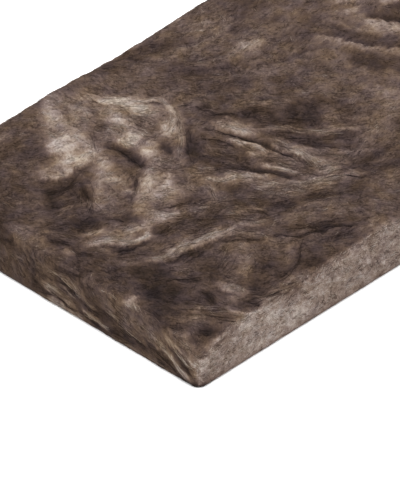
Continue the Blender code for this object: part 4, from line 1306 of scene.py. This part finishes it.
def make_curls(name, count, rings=8):
    """Single thin hairs that curl up a little from the surface."""
    u, v = random_places(count * 2)
    keep = rng.uniform(0, 1, len(u)) < np.where(u < FAR_PART, 1.0, FAR_CURLS)
    u, v = u[keep][:count], v[keep][:count]
    paths = follow(u, v, rng.uniform(*CURL_LENGTH, len(u)), rings, CURL_SWAY)
    half = drawn(CURL_HALF_WIDTH, len(u), taper(rings))
    arch = drawn(CURL_ARCH, len(u), taper(rings, 1.0))
    lift = arch - sunk(rings, 0.0006)
    return make_tubes(name, paths, half, half, lift, rng.uniform(*CURL_TONE_SHIFT, len(u)))


def make_rim_fibres(name, count, rings=6):
    """Pale fibres of the slit sides that reach over the rim onto the top."""
    u = rng.uniform(-LENGTH / 2 + 0.01, LENGTH / 2 - 0.01, count)
    side = rng.choice([-1.0, 1.0], count)
    v = side * (WIDTH / 2 + rng.uniform(-0.002, 0.010, count))
    angle = rng.uniform(*RIM_FIBRE_ANGLE, count) * rng.choice([-1.0, 1.0], count)
    turn = rng.normal(0, RIM_FIBRE_TURN, count)
    step = rng.uniform(*RIM_FIBRE_LENGTH, count) / (rings - 1)
    path = [np.stack([u, v], -1)]
    for k in range(rings - 1):
        way = angle + turn * (k - rings / 2)
        path.append(path[-1] + np.stack([np.cos(way), -side * np.abs(np.sin(way))], -1) * step[:, None])
    half = drawn(RIM_FIBRE_HALF_WIDTH, count, taper(rings))
    lift = 0.0003 + drawn(RIM_FIBRE_RISE, count) - sunk(rings, 0.0008)
    tones = rng.choice([WARM, TAN, LIGHT, PALE], count)
    return make_tubes(name, np.stack(path, 1), half, half * 0.6, lift, rng.normal(0, 0.05, count), tones)


# Folds up to this many pixels either side of their middle are also drawn with fibres along them,
# unless they are felted. The palest and darkest of the thin ones keep the fold's own tone, so that
# these stay crisp lines; the darkest lie in cracks and carry their painted shade.
WIDEST_FIBRE_PX = 7.0
WIDEST_HAIR_PX = 2.7
HAIR_SPAN_PX = (14, 34)
FIBRE_SPAN_PX = (10, 26)


def make_hairs(piece_name, rings=9):
    """Fibres along the folds of the photograph."""
    paths, tones = [], []
    for face, folds in (("top", TOP_FOLDS), ("end", END_FOLDS)):
        for name, half_px, tone, _, _, *path in folds:
            line = curve(path, 40)
            reach = np.linalg.norm(np.diff(line, axis=0), axis=1).sum()
            if name in FELTED_FOLDS or half_px > WIDEST_FIBRE_PX or reach < 4 * half_px:
                continue
            thin = half_px <= WIDEST_HAIR_PX
            if not thin or DARK < tone < TAN:
                tone = np.nan
            ahead = unit(np.gradient(line, axis=0))
            across = np.stack([-ahead[:, 1], ahead[:, 0]], -1)
            count = int(np.ceil(reach * half_px / (14 if thin else 10))) + 1
            start = rng.uniform(0.0, 0.65, count)
            span = rng.uniform(*(HAIR_SPAN_PX if thin else FIBRE_SPAN_PX), count)
            stop = np.minimum(start + np.clip(span / reach, 0.12, 1.0), 1.0)
            offset = np.clip(rng.normal(0, 0.35 + 0.05 * half_px, count), -1.2, 1.2) * half_px
            drift = rng.normal(0, 0.3, count) * half_px
            for k in range(count):
                t = np.linspace(start[k], stop[k], rings) * (len(line) - 1)
                near = [np.interp(t, np.arange(len(line)), column) for column in (*line.T, *across.T)]
                side = offset[k] + drift[k] * np.linspace(-1, 1, rings) + rng.normal(0, 0.15, rings)
                x, y = near[0] + near[2] * side, near[1] + near[3] * side
                paths.append(np.stack(from_pixels(x, y, face), -1))
                tones.append(tone)
    paths, tones = np.array(paths), np.array(tones)
    half = drawn(HAIR_HALF_WIDTH, len(paths), taper(rings))
    lift = 0.0004 + drawn(HAIR_RISE, len(paths)) - sunk(rings, 0.0010)
    shift = rng.normal(0.0, np.where(np.isnan(tones), 0.13, 0.05))
    return make_tubes(piece_name, paths, half, half * 0.6, lift, shift, tones)


CURL_COUNT = 600
RIM_FIBRE_COUNT = 900
STRANDS_IN_A_PIECE = 11000
STRAND_CLUMPS = (5, 5, 5, 1, 1)

pieces = [
    make_body(),
    make_hairs("wool_hairs"),
    make_curls("wool_curls", CURL_COUNT),
    make_rim_fibres("wool_rim_fibres", RIM_FIBRE_COUNT),
]
for n, clump in enumerate(STRAND_CLUMPS):
    pieces.append(make_strands(f"wool_strands_{n + 1}", STRANDS_IN_A_PIECE, clump))


# Colours of the wool at its tones, in sRGB.
TONE_COLOURS = (
    (0.0, (31, 25, 23)),
    (0.2, (46, 37, 34)),
    (0.4, (63, 52, 47)),
    (0.6, (87, 74, 66)),
    (0.8, (116, 104, 95)),
    (1.0, (147, 140, 132)),
)
# The wool's cast changes from patch to patch.
COOL_TINT = (0.995, 0.972, 1.080, 1.0)
WARM_TINT = (1.070, 0.980, 0.835, 1.0)
GOLD_CAST = 0.20
SLIT_CAST = 0.15
HUE_SWING = 3.0
SLIT_EVENNESS = 0.6
CAST_ON_DARK = 1.25
CAST_LOSS_ON_PALE = 0.8

# Noises of the wool: the coordinates they lie on, waves a metre along x, y and z, detail, and
# roughness.
NOISES = {
    "hair": ("comb", (190.0, 520.0, 1.0), 3.0, 0.65),
    "felt": ("place", (190.0, 190.0, 260.0), 4.0, 0.65),
    "wisps": ("comb", (60.0, 140.0, 1.0), 3.0, 0.55),
    "blotch": ("place", (38.0, 38.0, 38.0), 4.0, 0.55),
    "grain": ("place", (420.0, 420.0, 700.0), 3.0, 0.7),
    "hue": ("place", (40.0, 40.0, 40.0), 2.0, 0.5),
}
# How far each noise moves the tone, and how much more the grain moves it on the slit sides.
TONE_SWINGS = {"hair": 0.20, "felt": 0.27, "wisps": 0.12, "blotch": 0.12, "grain": 0.42}
SLIT_GRAIN = 0.5
# Stray hairs: waves a metre, and how far they pull the combed noises along and across.
STRAY_WAVES = 70.0
STRAY_PULL = (0.014, 0.014, 0.0)
# The relief of the shading: the shares of two noises in it, its strength, and its depth in metres.
HAIR_SHARE = 0.5
GRAIN_SHARE = 0.35
BUMP_STRENGTH = 0.35
BUMP_DEPTH = 0.0015
ROUGHNESS = 0.92
SHINE = 0.05


def linear(rgb):
    """An sRGB colour of 0 to 255 as a linear one."""
    c = np.array(rgb) / 255
    return tuple(np.where(c <= 0.04045, c / 12.92, ((c + 0.055) / 1.055) ** 2.4)) + (1.0,)


def wool_material():
    material = bpy.data.materials.new("matted_glass_wool")
    material.use_nodes = True
    nodes, links = material.node_tree.nodes, material.node_tree.links
    nodes.clear()

    def attribute(name, socket="Fac"):
        node = nodes.new("ShaderNodeAttribute")
        node.attribute_name = name
        return node.outputs[socket]

    def vector_node(operation, vector, second, third=None):
        node = nodes.new("ShaderNodeVectorMath")
        node.operation = operation
        links.new(vector, node.inputs[0])
        node.inputs[1].default_value = second
        if third is not None:
            links.new(third, node.inputs[2])
        return node.outputs[0]

    def noise(vector, scale, detail, roughness):
        node = nodes.new("ShaderNodeTexNoise")
        node.inputs["Scale"].default_value = scale
        node.inputs["Detail"].default_value = detail
        node.inputs["Roughness"].default_value = roughness
        links.new(vector, node.inputs["Vector"])
        return node

    def math_node(operation, *values):
        node = nodes.new("ShaderNodeMath")
        node.operation = operation
        for socket, value in zip(node.inputs, values):
            if isinstance(value, (int, float)):
                socket.default_value = value
            else:
                links.new(value, socket)
        return node.outputs[0]

    def swing(value, amount):
        """The value's swing about its middle, times amount."""
        return math_node("MULTIPLY", math_node("SUBTRACT", value, 0.5), amount)

    def mix_node():
        node = nodes.new("ShaderNodeMix")
        node.data_type = "RGBA"
        return node

    slit = attribute("slit")
    place = nodes.new("ShaderNodeTexCoord").outputs["Object"]
    stray = noise(place, STRAY_WAVES, 2.0, 0.5)
    comb = vector_node("MULTIPLY_ADD", stray.outputs["Color"], STRAY_PULL, attribute("comb", "Vector"))
    lie = {"comb": comb, "place": place}
    noises = {}
    for name, (base, waves, detail, roughness) in NOISES.items():
        spread = vector_node("MULTIPLY", lie[base], waves)
        noises[name] = noise(spread, 1.0, detail, roughness).outputs["Fac"]

    tone = attribute("tone")
    for name, amount in TONE_SWINGS.items():
        tone = math_node("ADD", tone, swing(noises[name], amount))
    tone = math_node("ADD", tone, math_node("MULTIPLY", swing(noises["grain"], SLIT_GRAIN), slit))
    ramp = nodes.new("ShaderNodeValToRGB")
    points = ramp.color_ramp.elements
    for k, (position, rgb) in enumerate(TONE_COLOURS):
        point = points[k] if k < 2 else points.new(position)
        point.position = position
        point.color = linear(rgb)
    links.new(tone, ramp.inputs["Fac"])

    # The cast is weaker on the slit sides and on pale wool.
    evenness = math_node("SUBTRACT", 1.0, math_node("MULTIPLY", slit, SLIT_EVENNESS))
    cast = math_node("MULTIPLY", swing(noises["hue"], HUE_SWING), evenness)
    on_tone = math_node("SUBTRACT", CAST_ON_DARK, math_node("MULTIPLY", tone, CAST_LOSS_ON_PALE))
    cast = math_node("MULTIPLY", cast, on_tone)
    cast = math_node("ADD", cast, math_node("MULTIPLY", attribute("gold"), GOLD_CAST))
    cast = math_node("SUBTRACT", cast, math_node("MULTIPLY", slit, SLIT_CAST))
    tint = mix_node()
    links.new(math_node("ADD", cast, 0.5), tint.inputs["Factor"])
    tint.inputs[6].default_value = COOL_TINT
    tint.inputs[7].default_value = WARM_TINT
    dyed = mix_node()
    dyed.blend_type = "MULTIPLY"
    dyed.inputs["Factor"].default_value = 1.0
    links.new(ramp.outputs["Color"], dyed.inputs[6])
    links.new(tint.outputs[2], dyed.inputs[7])

    relief = math_node("ADD", math_node("MULTIPLY", noises["hair"], HAIR_SHARE), noises["wisps"])
    relief = math_node("ADD", relief, math_node("MULTIPLY", noises["grain"], GRAIN_SHARE))
    bump = nodes.new("ShaderNodeBump")
    bump.inputs["Strength"].default_value = BUMP_STRENGTH
    bump.inputs["Distance"].default_value = BUMP_DEPTH
    links.new(relief, bump.inputs["Height"])

    shader = nodes.new("ShaderNodeBsdfPrincipled")
    shader.inputs["Roughness"].default_value = ROUGHNESS
    shader.inputs["Specular IOR Level"].default_value = SHINE
    links.new(dyed.outputs[2], shader.inputs["Base Color"])
    links.new(bump.outputs["Normal"], shader.inputs["Normal"])
    output = nodes.new("ShaderNodeOutputMaterial")
    links.new(shader.outputs[0], output.inputs["Surface"])
    return material


wool = wool_material()
for piece in pieces:
    piece.data.materials.append(wool)


# The stage: a floor just under the batt, even light all round, and one lamp above it.
FLOOR_HALF = 9.0
FLOOR_DROP = 0.0005
FLOOR_COLOUR = (0.98, 0.98, 0.98, 1.0)
SKY_COLOUR = (1.0, 1.0, 1.0, 1.0)
SKY_STRENGTH = 1.15
LAMP_DIAMETER = 3.2
LAMP_WATTS = 120.0
LAMP_PLACE = (-0.6, -0.45, 3.1)
LAMP_TARGET = (0.0, 0.0, 0.05)


def plain_material(name, colour, roughness):
    material = bpy.data.materials.new(name)
    material.use_nodes = True
    shader = material.node_tree.nodes["Principled BSDF"]
    shader.inputs["Base Color"].default_value = colour
    shader.inputs["Roughness"].default_value = roughness
    return material


def make_stage():
    """A plain pale floor, even light all round and one soft lamp from above."""
    mesh = bpy.data.meshes.new("floor")
    corners = [(x * FLOOR_HALF, y * FLOOR_HALF, 0) for x, y in ((-1, -1), (1, -1), (1, 1), (-1, 1))]
    mesh.from_pydata(corners, [], [(0, 1, 2, 3)])
    floor = bpy.data.objects.new("floor", mesh)
    floor.location.z = -FLOOR_DROP
    mesh.materials.append(plain_material("pale_floor", FLOOR_COLOUR, 0.9))
    bpy.context.scene.collection.objects.link(floor)

    world = bpy.data.worlds.new("studio")
    world.use_nodes = True
    background = world.node_tree.nodes["Background"]
    background.inputs["Color"].default_value = SKY_COLOUR
    background.inputs["Strength"].default_value = SKY_STRENGTH
    bpy.context.scene.world = world

    lamp_data = bpy.data.lights.new("soft_lamp", "AREA")
    lamp_data.shape = "DISK"
    lamp_data.size = LAMP_DIAMETER
    lamp_data.energy = LAMP_WATTS
    lamp = bpy.data.objects.new("soft_lamp", lamp_data)
    lamp.location = LAMP_PLACE
    way = Vector(LAMP_TARGET) - lamp.location
    lamp.rotation_euler = way.to_track_quat("-Z", "Y").to_euler()
    bpy.context.scene.collection.objects.link(lamp)


def make_camera():
    data = bpy.data.cameras.new("photo_camera")
    data.lens = LENS_MM
    data.sensor_width = SENSOR_MM
    data.sensor_fit = "AUTO"
    data.clip_end = 200.0
    camera = bpy.data.objects.new("photo_camera", data)
    camera.location = CAMERA_EYE
    camera.rotation_euler = (math.pi / 2 - CAMERA_ELEVATION, 0.0, CAMERA_AZIMUTH)
    bpy.context.scene.collection.objects.link(camera)
    bpy.context.scene.camera = camera


make_stage()
make_camera()
bpy.context.scene.view_settings.view_transform = "Standard"

bpy.context.view_layer.update()
